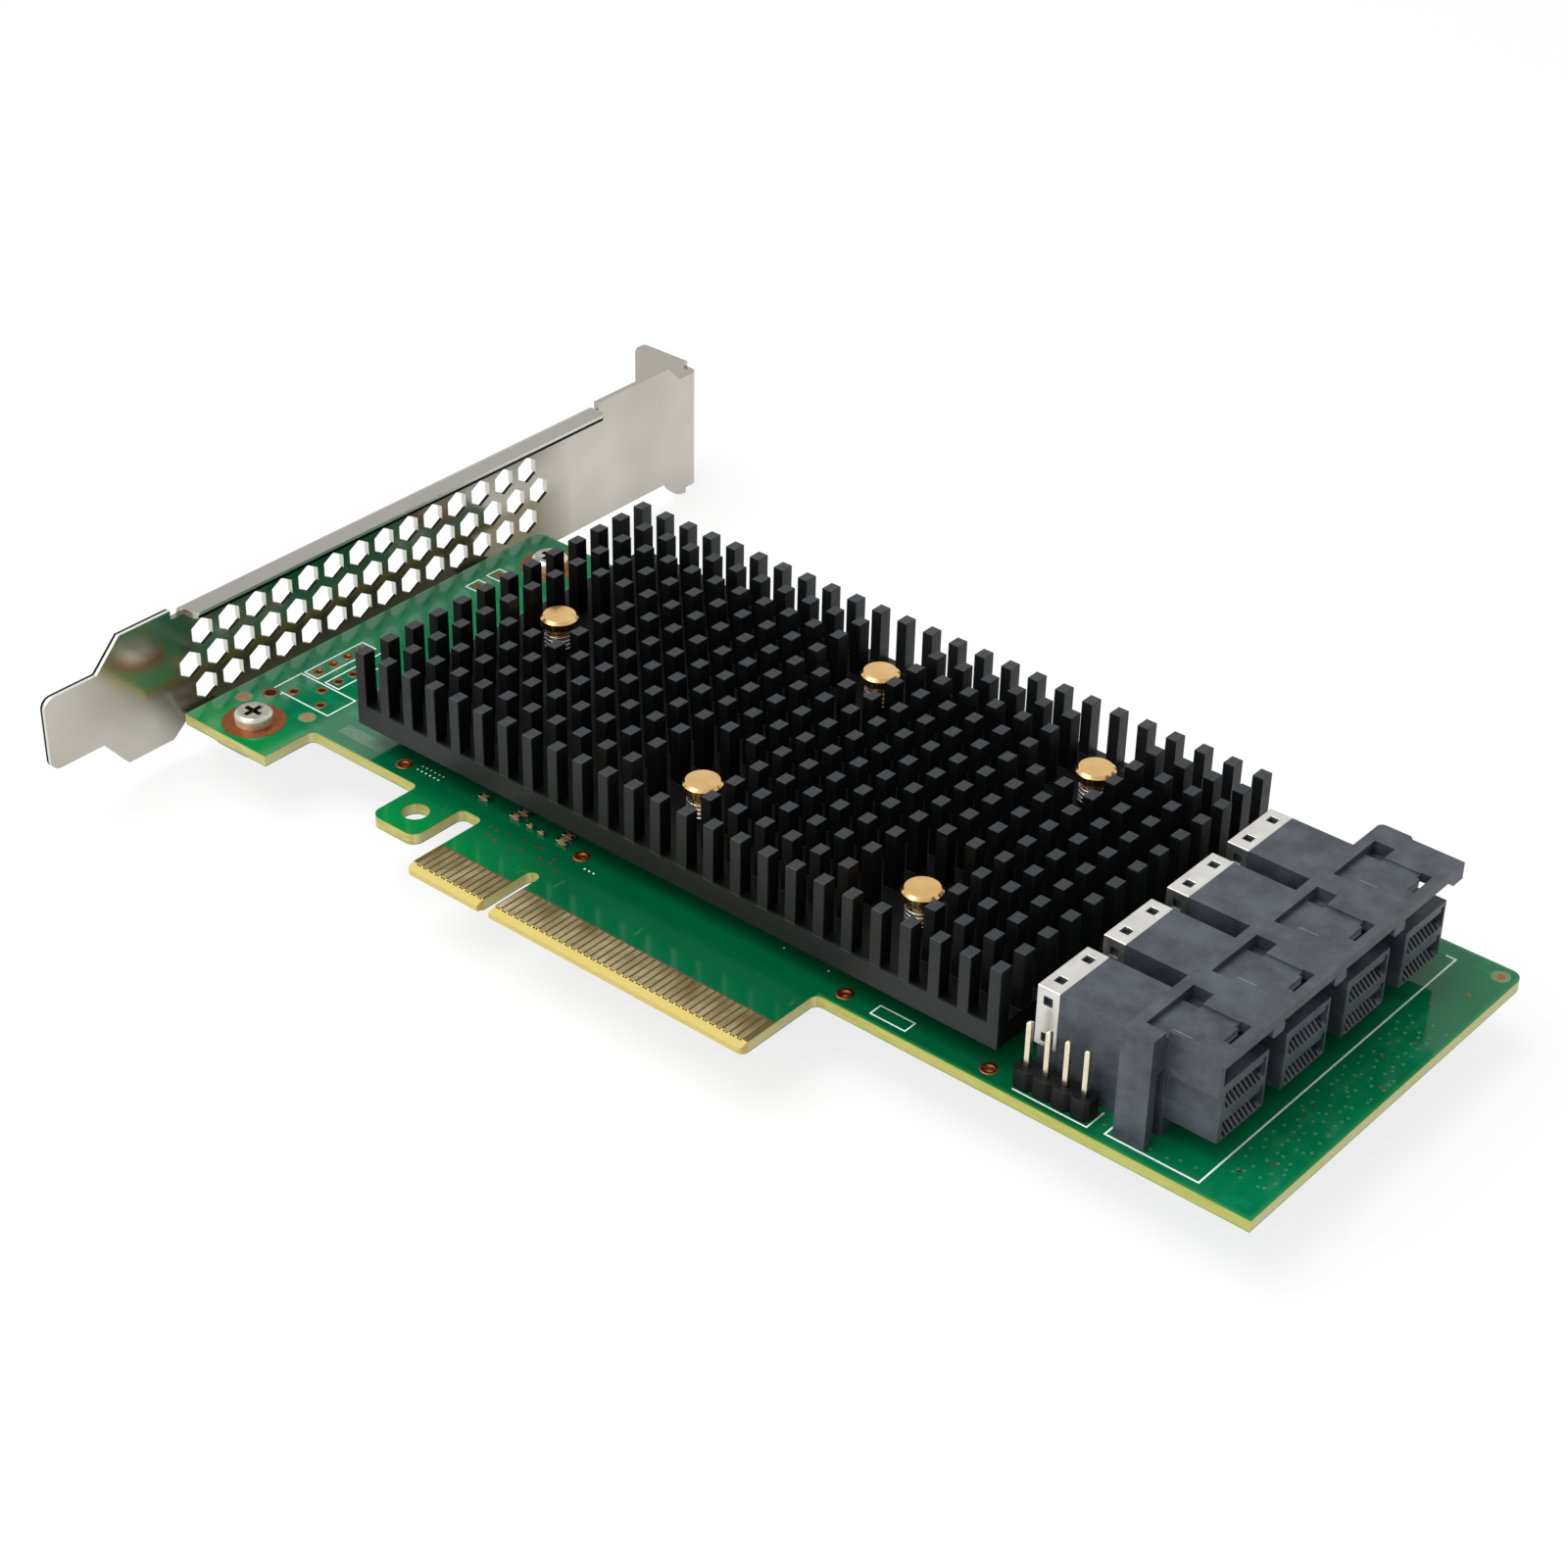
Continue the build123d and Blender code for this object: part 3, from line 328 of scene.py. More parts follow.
def nickel_sheet():
    """Cold-rolled steel with bright nickel plating: a soft mirror with a faint rolled grain."""
    material, tree, shader, place = new_material("nickel_sheet", "#cdc8bf", 0.2, 1.0)
    spot = board_axes(tree, place)
    turn = normal_axes(tree, "True Normal")
    low, high = node_box("bracket")
    rolled = add_node(tree, "Mapping", {"Vector": place, "Scale": (1.0, 0.04, 1.0)})
    grain = add_node(
        tree, "TexNoise", {"Vector": rolled, "Scale": PER_MM / 1.2, "Detail": 4.0, "Roughness": 0.6},
    )
    cloud = add_node(tree, "TexNoise", {"Vector": place, "Scale": PER_MM / 18.0, "Roughness": 0.55})
    plating = add_node(tree, "ValToRGB", [cloud], stops=[(0.3, "#b5afa4"), (0.7, "#c6c2b9")])
    # Painted shade: faces turned upwards are painted a duller grey
    upward = add_node(tree, "MapRange", [turn["Z"], 0.6, 0.9])

    # Painted shade and reflection: around the vents the plate is painted darker, with a painted olive
    # reflection of the board low down and painted grey shade below the lip
    plate = zone(tree, (spot["X"], None, PLATE_INNER))
    start = add_node(tree, "MapRange", [spot["Y"], 3.0, 13.0])
    end = add_node(tree, "MapRange", [spot["Y"], high[1] - 27.0, high[1] - 35.0])
    field = add_node(tree, "Math", [start, plate], operation="MULTIPLY")
    field = add_node(tree, "Math", [field, end], operation="MULTIPLY")
    upper = add_node(tree, "MapRange", [spot["Z"], 6.0, 10.5, 0.0, 0.65])
    lower = add_node(tree, "MapRange", [spot["Z"], 4.0, 1.5, 0.0, 0.64])
    shade, painted_dimming, painted_olive_reflection = (
        add_node(tree, "Math", [field, share], operation="MULTIPLY") for share in (upper, 0.4, lower)
    )
    # Painted shade: faces turned along y, such as the flange, are painted a darker grey
    sideways = add_node(tree, "Math", [turn["Y"]], operation="ABSOLUTE")
    flange = add_node(tree, "Math", [sideways, 0.7], operation="GREATER_THAN")
    flange = add_node(tree, "Math", [flange, 0.6], operation="MULTIPLY")
    for share, tint in (
        (upward, "#aba8a0"), (shade, "#6b6d6a"), (painted_dimming, "#76736a"), (painted_olive_reflection, "#6a6430"), (flange, "#96938b"),
    ):
        plating = add_node(tree, "Mix", {SHARE: share, UNDER: plating, OVER: tint}, MIXED, data_type="RGBA")

    # Cut edges burnished bright or dark where they tore, and the painted highlight and shadow line on the
    # lip's front edge
    burnished_and_lip_highlight, torn_and_lip_shadow = sheared_edges(tree, spot, turn, high)
    for share, tint in ((burnished_and_lip_highlight, "#d3d4cf"), (torn_and_lip_shadow, "#1b1918")):
        plating = add_node(tree, "Mix", {SHARE: share, UNDER: plating, OVER: tint}, MIXED, data_type="RGBA")

    smooth = add_node(tree, "MapRange", [grain, 0.2, 0.8, 0.14, 0.26])
    rough = add_node(tree, "Math", [burnished_and_lip_highlight, 0.5], operation="MULTIPLY")
    connect(tree, shader, {
        "Base Color": plating,
        "Roughness": add_node(tree, "Math", [smooth, rough], operation="MAXIMUM"),
        "Normal": add_node(tree, "Bump", {"Height": grain, "Strength": 0.12, "Distance": 0.004 * MM}),
    })
    return material


def zinc_screws():
    """Bright zinc plating on turned screws, rougher inside the cross recess, where painted shade makes it
    dark.
    """
    material, tree, shader, place = new_material("zinc_plating", "#e2e0da", 0.22, 0.6)
    low, high = node_box("bracket_screws")
    spot = board_axes(tree, place)
    cloud = add_node(
        tree, "TexNoise", {"Vector": place, "Scale": PER_MM / 1.6, "Detail": 3.0, "Roughness": 0.55},
    )
    bright = add_node(tree, "ValToRGB", [cloud], stops=[(0.3, "#b9b6a8"), (0.7, "#e4e2d8")])

    # Distance from the nearer screw's axis
    middle = (low + high) / 2
    spacing = (high[1] - low[1]) - (high[0] - low[0])
    across = add_node(tree, "Math", [spot["Y"], middle[1]], operation="SUBTRACT")
    across = add_node(tree, "Math", [across], operation="ABSOLUTE")
    across = add_node(tree, "Math", [across, spacing / 2], operation="SUBTRACT")
    along = add_node(tree, "Math", [spot["X"], middle[0]], operation="SUBTRACT")
    offset = add_node(tree, "CombineXYZ", [along, across])
    distance = add_node(tree, "VectorMath", [offset], "Value", operation="LENGTH")

    # The recess: steep or low-lying faces near the axis, painted dark as shade
    recess_radius = 1.45
    steep = add_node(tree, "Math", [normal_axes(tree, "True Normal")["Z"], 0.5], operation="LESS_THAN")
    bottom = add_node(tree, "Math", [spot["Z"], high[2] - 0.6], operation="LESS_THAN")
    deep = add_node(tree, "Math", [steep, bottom], operation="MAXIMUM")
    painted_recess_shade = zone(tree, (distance, None, recess_radius), (deep, 0.5, None))
    connect(tree, shader, {
        "Base Color": add_node(
            tree, "Mix", {SHARE: painted_recess_shade, UNDER: bright, OVER: "#45402f"}, MIXED, data_type="RGBA",
        ),
        "Roughness": add_node(tree, "MapRange", [painted_recess_shade, 0.0, 1.0, 0.22, 0.4]),
        "Normal": add_node(tree, "Bump", {"Height": cloud, "Strength": 0.6, "Distance": 0.03 * MM}),
    })
    return material


def black_anodised():
    """Extruded aluminium, crosscut and black anodised: near black with a soft satin sheen."""
    material, tree, shader, place = new_material("black_anodised", "#17181a", 0.45, 0.0, IOR=1.4)
    spot = board_axes(tree, place)
    sink_low, sink_high = node_box("heat_sink")
    drawn = add_node(tree, "Mapping", {"Vector": place, "Scale": (0.05, 1.0, 1.0)})
    grit = add_node(
        tree, "TexNoise", {"Vector": place, "Scale": PER_MM / 0.25, "Detail": 3.0, "Roughness": 0.7},
    )
    streaks = add_node(
        tree, "TexNoise", {"Vector": drawn, "Scale": PER_MM / 0.8, "Detail": 3.0, "Roughness": 0.6},
    )
    sides = add_node(tree, "ValToRGB", [grit], stops=[(0.3, "#0f1011"), (0.75, "#1b1c1e")])
    painted_lit_tops = add_node(tree, "ValToRGB", [grit], stops=[(0.3, "#252628"), (0.75, "#343537")])

    # Painted shade: deep between the pins the coating is painted darker, down to full black, and its
    # specular is lowered
    between = zone(tree, (spot["Y"], sink_low[1] + 0.3, sink_high[1] - 2.0))
    depth = add_node(tree, "MapRange", [spot["Z"], sink_high[2], sink_low[2] + 4.0, 0.7, 0.97])
    inner = add_node(tree, "Math", [between, depth], operation="MULTIPLY")
    sides = add_node(tree, "Mix", {SHARE: inner, UNDER: sides, OVER: "#030303"}, MIXED, data_type="RGBA")

    # Painted light: the tops of the pins are painted paler, as lit from above
    upward = add_node(tree, "MapRange", [normal_axes(tree)["Z"], 0.4, 0.9])
    near_top = zone(tree, (spot["Z"], sink_high[2] - 0.2, None))
    painted_top_light = add_node(tree, "Math", [upward, near_top], operation="MULTIPLY")
    connect(tree, shader, {
        "Base Color": add_node(
            tree, "Mix", {SHARE: painted_top_light, UNDER: sides, OVER: painted_lit_tops}, MIXED, data_type="RGBA",
        ),
        "Specular IOR Level": add_node(tree, "MapRange", [inner, 0.0, 1.0, 0.5, 0.25]),
        "Roughness": add_node(tree, "MapRange", [streaks, 0.2, 0.8, 0.4, 0.54]),
        "Normal": add_node(tree, "Bump", {"Height": grit, "Strength": 0.5, "Distance": 0.01 * MM}),
    })
    return material


def turned_brass():
    """Free-cutting brass off the lathe: warm yellow, smooth, with a slight drift of colour."""
    material, tree, shader, place = new_material("turned_brass", "#e6bb78", 0.2, 1.0)
    drift = add_node(
        tree, "TexNoise", {"Vector": place, "Scale": PER_MM / 2.2, "Detail": 3.0, "Roughness": 0.5},
    )
    connect(tree, shader, {
        "Base Color": add_node(tree, "ValToRGB", [drift], stops=[(0.25, "#e2b672"), (0.75, "#f0ca8c")]),
        "Roughness": add_node(tree, "MapRange", [drift, 0.2, 0.8, 0.17, 0.25]),
    })
    return material


def moulded_polymer(name, dark, light, roughness, bump=0.012, index=1.5):
    """Glass-filled moulded polymer: matte, with the flow of the melt showing as soft darker clouds."""
    material, tree, shader, place = new_material(name, dark, roughness, 0.0, IOR=index)
    cloud = add_node(
        tree, "TexNoise", {"Vector": place, "Scale": PER_MM / 4.0, "Detail": 5.0, "Roughness": 0.62},
    )
    grit = add_node(
        tree, "TexNoise", {"Vector": place, "Scale": PER_MM / 0.2, "Detail": 3.0, "Roughness": 0.6},
    )
    connect(tree, shader, {
        "Base Color": add_node(tree, "ValToRGB", [cloud], stops=[(0.36, dark), (0.64, light)]),
        "Roughness": add_node(tree, "MapRange", [grit, 0.2, 0.8, roughness - 0.06, roughness + 0.08]),
        "Normal": add_node(tree, "Bump", {"Height": grit, "Strength": 0.5, "Distance": bump * MM}),
    })
    return material


def plated_metal(name, dark, light, roughness, stretch=(1.0, 1.0, 1.0), feature=0.5):
    """A thin metal plating: its colour drifts a little and its gloss follows a fine grain."""
    material, tree, shader, place = new_material(name, dark, roughness, 1.0)
    drawn = add_node(tree, "Mapping", {"Vector": place, "Scale": stretch})
    grain = add_node(
        tree, "TexNoise", {"Vector": drawn, "Scale": PER_MM / feature, "Detail": 3.0, "Roughness": 0.6},
    )
    connect(tree, shader, {
        "Base Color": add_node(tree, "ValToRGB", [grain], stops=[(0.3, dark), (0.7, light)]),
        "Roughness": add_node(tree, "MapRange", [grain, 0.2, 0.8, roughness - 0.05, roughness + 0.1]),
    })
    return material


def flat_ink(name, dark, light, roughness, index=1.5):
    """Thick printed ink or a fired ceramic body: even, with a slight unevenness of colour."""
    material, tree, shader, place = new_material(name, dark, roughness, 0.0, IOR=index)
    cloud = add_node(
        tree, "TexNoise", {"Vector": place, "Scale": PER_MM / 0.6, "Detail": 3.0, "Roughness": 0.55},
    )
    connect(tree, shader, {
        "Base Color": add_node(tree, "ValToRGB", [cloud], stops=[(0.3, dark), (0.7, light)]),
    })
    return material


FINISHES = {
    "board": solder_mask_board(),
    "gold": plated_metal("gold_plating", "#ab9464", "#ecdcb2", 0.3, (1.0, 0.6, 1.0), 3.5),
    "copper": plated_metal("bare_copper", "#96542e", "#b46d43", 0.38),
    "nickel": nickel_sheet(),
    "screw_steel": zinc_screws(),
    "black_anodised": black_anodised(),
    "ceramic_grey": flat_ink("chip_substrate", "#2f4a36", "#3a5a42", 0.5),
    "bare_lid": plated_metal("nickel_lid", "#a9abad", "#c2c4c6", 0.35),
    "pad_grey": flat_ink("thermal_putty", "#80858c", "#8d929a", 0.8),
    "brass": turned_brass(),
    "spring_steel": plated_metal("spring_wire", "#a8a6a2", "#cfcdc8", 0.22),
    "dark_plastic": moulded_polymer("grey_polymer", "#2b3138", "#464c54", 0.46),
    "clip_steel": plated_metal("tinned_sheet", "#d6d5cf", "#e8e7e1", 0.34, feature=3.0),
    "black_plastic": moulded_polymer("black_polymer", "#060607", "#0d0d0e", 0.55, index=1.3),
    "tan_ceramic": flat_ink("capacitor_ceramic", "#8a6a4a", "#a5825d", 0.45),
    "solder": plated_metal("tinned_ends", "#bdbdbd", "#e6e6e4", 0.2),
}

# Screen-printed epoxy ink
WHITE_INK = flat_ink("white_ink", "#dfe8df", "#f2f6f0", 0.5)
# Oxidised copper in shadow at the bottom of a hole
DARK_COPPER = flat_ink("dark_copper", "#200803", "#3a1408", 0.6, 1.2)
# Solder mask thinned over the rim of a via
PALE_MASK = flat_ink("thin_mask", "#2a7f58", "#549a76", 0.3)
# Solder mask rubbed dull, so that it looks paler
DULL_MASK = flat_ink("dull_mask", "#4a6d55", "#5c7d63", 0.5)
# Tarnished copper under a thin film, and the film over its rim
TAN_COPPER = flat_ink("tan_copper", "#8f5c3a", "#a3704a", 0.35)
COPPER_RIM = flat_ink("mask_on_copper", "#5f7d50", "#74875a", 0.25)
# Painted highlight: moulded polymer painted pale along a rim where the light catches it
PAINTED_RIM_HIGHLIGHT = flat_ink("painted_rim_highlight", "#8b9299", "#a0a6ab", 0.5)

for row in frame["record"]["subparts"]:
    target = nodes[row["node"]]
    target.data.materials.clear()
    target.data.materials.append(FINISHES[row["material_slot"]])
nodes["header_pins"].data.materials[0] = plated_metal("pale_pin_gold", "#d9cfb2", "#ede4ca", 0.22)


# Mesh helpers: every form is an array of points in board millimetres and an array of faces

def grid_faces(rows, columns, wrap_rows=False, wrap_columns=False):
    """Quads between neighbouring rows and columns of a grid of points, joined round where wrapped."""
    first_rows = np.arange(rows if wrap_rows else rows - 1)
    first_columns = np.arange(columns if wrap_columns else columns - 1)
    i, j = np.meshgrid(first_rows, first_columns, indexing="ij")
    next_i = (i + 1) % rows
    next_j = (j + 1) % columns
    corners = (i * columns + j, i * columns + next_j, next_i * columns + next_j, next_i * columns + j)
    return np.stack(corners, axis=-1).reshape(-1, 4)


def turned(profile, segments=32):
    """A closed profile turned round z: (radius, z) becomes (radius cos t, radius sin t, z)."""
    angle = np.linspace(0, 2 * np.pi, segments, endpoint=False)
    radius, height = np.array(profile, float).T
    points = np.stack([
        radius[:, None] * np.cos(angle),
        radius[:, None] * np.sin(angle),
        np.broadcast_to(height[:, None], (len(radius), segments)),
    ], axis=-1).reshape(-1, 3)
    return points, grid_faces(len(radius), segments, wrap_rows=True, wrap_columns=True)


def disc(radius, height, segments=16):
    """One flat face: the points (radius cos t, radius sin t, height)."""
    angle = np.linspace(0, 2 * np.pi, segments, endpoint=False)
    heights = np.full(segments, float(height))
    points = np.stack([radius * np.cos(angle), radius * np.sin(angle), heights], axis=-1)
    return points, np.arange(segments)[None]


def ribbon(path, width, height, closed=False):
    """A flat strip along a path: each point moves half the width along the mitre of its two directions."""
    path = np.array(path, float)
    ahead = np.roll(path, -1, axis=0) - path
    behind = np.roll(ahead, 1, axis=0)
    if not closed:
        ahead[-1] = behind[-1]
        behind[0] = ahead[0]
    ahead /= np.linalg.norm(ahead, axis=1, keepdims=True)
    behind /= np.linalg.norm(behind, axis=1, keepdims=True)
    across = np.stack([-(ahead + behind)[:, 1], (ahead + behind)[:, 0]], axis=-1)
    across /= np.linalg.norm(across, axis=1, keepdims=True)
    lean = np.sum(across * np.stack([-ahead[:, 1], ahead[:, 0]], axis=-1), axis=1, keepdims=True)
    shift = across * width / 2 / lean
    flat = np.stack([path + shift, path - shift], axis=1).reshape(-1, 2)
    points = np.column_stack([flat, np.full(len(flat), float(height))])
    return points, grid_faces(len(path), 2, wrap_rows=closed)[:, ::-1]


def helix(radius, wire, bottom, top, turns, segments=28, sides=8):
    """A coil of round wire: the centre line is (R cos t, R sin t, z rising evenly with t), and the wire's
    section turns round it in the plane of the outward and the upward direction."""
    t = np.linspace(0, 2 * np.pi * turns, int(turns * segments) + 1)
    rise = (top - bottom - wire) / t[-1]
    s = np.linspace(0, 2 * np.pi, sides, endpoint=False)
    out = radius + wire / 2 * np.cos(s)
    points = np.stack([
        out[None] * np.cos(t)[:, None],
        out[None] * np.sin(t)[:, None],
        bottom + wire / 2 + rise * t[:, None] + wire / 2 * np.sin(s)[None],
    ], axis=-1).reshape(-1, 3)
    return points, grid_faces(len(t), sides, wrap_columns=True)[:, ::-1]


def repeated(form, places):
    """The same form at each place: every point plus the place, and every face moved on to its own points."""
    points, faces = form
    places = np.array(places, float)
    if places.shape[1] == 2:
        places = np.column_stack([places, np.zeros(len(places))])
    all_points = (points[None] + places[:, None]).reshape(-1, 3)
    steps = len(points) * np.arange(len(places))
    return all_points, (faces[None] + steps[:, None, None]).reshape(-1, faces.shape[1])


def add_piece(name, forms, finish, smooth=False, thickness=0.0):
    """One object from several forms; a flat one gets a thickness from Solidify, in millimetres."""
    mesh = bpy.data.meshes.new(name)
    points, faces, count = [], [], 0
    for form_points, form_faces in forms:
        points.append(form_points)
        faces += (form_faces + count).tolist()
        count += len(form_points)
    mesh.from_pydata((np.concatenate(points) * MM + BOARD_ORIGIN).tolist(), [], faces)
    mesh.polygons.foreach_set("use_smooth", np.full(len(mesh.polygons), smooth))
    mesh.materials.append(finish)
    piece = bpy.data.objects.new(name, mesh)
    bpy.context.scene.collection.objects.link(piece)
    if thickness:
        sheet = piece.modifiers.new("thickness", "SOLIDIFY")
        sheet.thickness = thickness * MM
        sheet.offset = 1.0
    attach(piece, "root")
    return piece


def soften(name, width, segments=2, angle=35):
    """Round the sharp edges of a CAD node by a width in millimetres."""
    weld = nodes[name].modifiers.new("weld", "WELD")
    weld.merge_threshold = 1e-6
    bevel = nodes[name].modifiers.new("edges", "BEVEL")
    bevel.width = width * MM
    bevel.segments = segments
    bevel.limit_method = "ANGLE"
    bevel.angle_limit = math.radians(angle)
    bevel.use_clamp_overlap = True


def spread_in(low, high, count, seed):
    """Places strewn evenly over a rectangle: one at random in each cell of a grid of about count cells."""
    random = np.random.default_rng(seed)
    size = np.subtract(high, low)
    cells = np.maximum(1, np.round(np.sqrt(count * size / size[::-1]))).astype(int)
    i, j = np.meshgrid(np.arange(cells[0]), np.arange(cells[1]), indexing="ij")
    corner = np.stack([i, j], axis=-1).reshape(-1, 2)
    return np.array(low) + (corner + random.uniform(0.1, 0.9, corner.shape)) / cells * size


# Edges of the moulded, folded and cut pieces

for port in (1, 2, 3, 4):
    soften(f"port_insert_{port}", 0.12)
    soften(f"rear_clip_{port}", 0.08)
for name in ("connector_housing", "heat_sink", "header_base"):
    soften(name, 0.12)
soften("header_pins", 0.06, segments=1)
soften("chip_bodies", 0.04, segments=1)
soften("chip_terminals", 0.06)
soften("bracket_screws", 0.07)
soften("bracket", 0.1)

# Solder mask openings, plated holes and printed marks on the board

PRINT_HEIGHT = 0.01
PRINT_THICKNESS = 0.02
LINE_WIDTH = 0.2
FRAME_WIDTH = 0.24
LINE_GAP = 0.3
RIM_FOOT = 0.005
RIM_TOP = 0.03


def rectangle_path(x0, y0, x1, y1):
    """The four corners of a rectangle, counterclockwise."""
    return [(x0, y0), (x1, y0), (x1, y1), (x0, y1)]


def board_print():
    """White ink: plain outlines, the line round the connector and rows of dots."""
    header_low, header_high = node_box("header_base")
    housing_low, housing_high = node_box("connector_housing")
    frame_x = housing_high[0]
    frame_y = housing_low[1] - LINE_GAP
    frame_start = header_high[0] + 2.4
    hole_row_outlines = [rectangle_path(3.7, 21.75, 6.2, 31.9), rectangle_path(7.57, 21.75, 10.05, 31.9)]
    square_pad_outlines = [rectangle_path(3.3, y, 5.6, y + 2.4) for y in (51.4, 55.4)]
    front_outline = rectangle_path(103.95, 14.1, 108.85, 15.95)
    closed_paths = [*hole_row_outlines, *square_pad_outlines, front_outline]
    header_corner = [
        (header_low[0] + 0.6, header_low[1] - LINE_GAP),
        (header_high[0] + LINE_GAP, header_low[1] - LINE_GAP),
        (header_high[0] + LINE_GAP, header_high[1] + LINE_GAP),
    ]
    blind_hole_outline = [(5.03, 16.45), (13.7, 16.45), (13.7, 21.26), (3.63, 21.26), (3.63, 16.6)]
    open_paths = [header_corner, blind_hole_outline]
    frame_path = [
        (frame_start, frame_y + 3.2), (frame_start, frame_y), (frame_x, frame_y),
        (frame_x, 66.3), (146.3, 66.3),
    ]
    forms = [ribbon(path, LINE_WIDTH, PRINT_HEIGHT, closed=True) for path in closed_paths]
    forms += [ribbon(path, LINE_WIDTH, PRINT_HEIGHT) for path in open_paths]
    forms.append(ribbon(frame_path, FRAME_WIDTH, PRINT_HEIGHT))
    dots = [(88.9, 17.07), (95.5, 17.04), (5.45, 16.1)]
    dots += [(31.1 + 0.72 * step, y) for step in range(6) for y in (15.35, 16.25)]
    dots += [(61.2 + 0.7 * step, 13.4) for step in range(3)]
    forms.append(repeated(disc(0.14, PRINT_HEIGHT, 10), dots))
    add_piece("board_print", forms, WHITE_INK, thickness=PRINT_THICKNESS)


def collar(inner, outer, segments, barrel=False):
    """A plated hole's flat rim above the mask, with its barrel through the board where the hole is open."""
    rim = [(outer, RIM_FOOT), (outer - 0.02, RIM_TOP), (inner + 0.05, RIM_TOP)]
    if not barrel:
        return turned([(inner, RIM_FOOT), *rim], segments)
    wall = [(inner, -BOARD_THICKNESS), (inner + 0.02, -BOARD_THICKNESS), (inner + 0.02, RIM_FOOT)]
    return turned([*wall, *rim, (inner, 0.0)], segments)


def plated_holes():
    """Copper collars on the open and the blind holes, and the dark bottoms of the blind ones."""
    tooling = [(28.97, 15.1), (59.1, 15.1), (99.6, 15.0), (119.8, 15.0)]
    light_row = [(4.9, 23.05 + HEADER_PITCH * step) for step in range(4)]
    blind = [(6.17, 17.6), (8.66, 20.17), (11.15, 17.61), (8.68, 23.07), (8.68, 25.55), (8.68, 28.1)]
    inner, outer = 0.45, 0.76
    big_inner = 0.72
    collars = [
        repeated(collar(0.62, 1.1, 40, barrel=True), tooling),
        repeated(collar(inner, outer, 32, barrel=True), light_row),
        repeated(collar(inner, outer, 32), blind),
        repeated(collar(big_inner, 1.08, 36), [BIG_HOLE]),
    ]
    add_piece("hole_collars", collars, FINISHES["copper"], smooth=True)
    depth = 0.008
    wells = [
        repeated(disc(inner + 0.03, depth, 24), blind),
        repeated(disc(big_inner + 0.03, depth, 28), [BIG_HOLE]),
    ]
    add_piece("hole_wells", wells, DARK_COPPER, thickness=depth)


def vias():
    """Filled vias: brown copper dots near the edge contacts, pale rings and copper dots at the port end."""
    brown = spread_in((46.0, 9.6), (60.0, 14.2), 14, seed=4)
    port_end = spread_in((148.6, 16.0), (154.2, 64.0), 9, seed=11)
    dots = repeated(disc(0.24, 0.006, 12), np.concatenate([brown, port_end]))
    add_piece("copper_vias", [dots], FINISHES["copper"], thickness=0.012)
    field = spread_in((148.4, 17.0), (154.2, 54.0), 100, seed=7)
    near_ports = spread_in((134.5, 15.0), (147.0, 17.0), 8, seed=3)
    tented = turned([(0.09, 0.006), (0.2, 0.006), (0.19, 0.02), (0.1, 0.02)], 12)
    add_piece("tented_vias", [repeated(tented, np.concatenate([field, near_ports]))], PALE_MASK, smooth=True)


def copper_pads():
    """Round pads under the mask near the bracket screw, and the bare marks for camera alignment."""
    covered = [(2.43, 12.5), (12.07, 14.47)]
    add_piece("covered_pads", [repeated(disc(0.78, 0.012, 32), covered)], TAN_COPPER, thickness=0.01)
    rims = repeated(disc(1.15, 0.006, 32), [*covered, CAMERA_MARK])
    add_piece("covered_pad_rims", [rims], COPPER_RIM, thickness=0.008)
    centre = repeated(disc(0.5, 0.012, 24), [CAMERA_MARK])
    squares = [ribbon([(3.85, y), (5.05, y)], 1.3, 0.006) for y in (52.6, 56.6)]
    add_piece("bare_pads", [centre, *squares], FINISHES["copper"], thickness=0.01)
    window = ribbon([(17.3, 15.85), (24.6, 15.85)], 2.0, 0.006)
    add_piece("mask_window", [window], DULL_MASK, thickness=0.01)


def edge_contact_ties():
    """The two small copper dots where each contact's plating tie was cut, between pad and bevel."""
    low, high = node_box("edge_contacts_top")
    half_pad = 0.35
    contact_pitch = 1.0
    along = np.arange(low[0] + half_pad, high[0] - half_pad + 0.01, contact_pitch)
    notch_low, notch_high = 56.5, 58.7
    along = along[(along < notch_low) | (along > notch_high)]
    places = np.column_stack([along, np.full(len(along), low[1] - 0.14), np.full(len(along), -0.075)])
    dot = disc(0.13, 0.055, 8)
    dots = [repeated(dot, places + (side, 0, 0)) for side in (-0.18, 0.18)]
    add_piece("contact_ties", dots, DARK_COPPER, thickness=0.01)


def painted_rim_highlights():
    """Painted highlight: the short pale line on the cover plate beside each latch, where its rim catches the
    light.
    """
    plate_top = node_box("connector_housing")[1][2]
    rows = [node_box(f"port_insert_{port}")[0][1] + 0.26 for port in (1, 2, 3, 4)]
    lines = [ribbon([(140.55, y), (142.9, y)], 0.3, plate_top - 0.01) for y in rows]
    add_piece("painted_rim_highlights", lines, PAINTED_RIM_HIGHLIGHT, thickness=0.02)


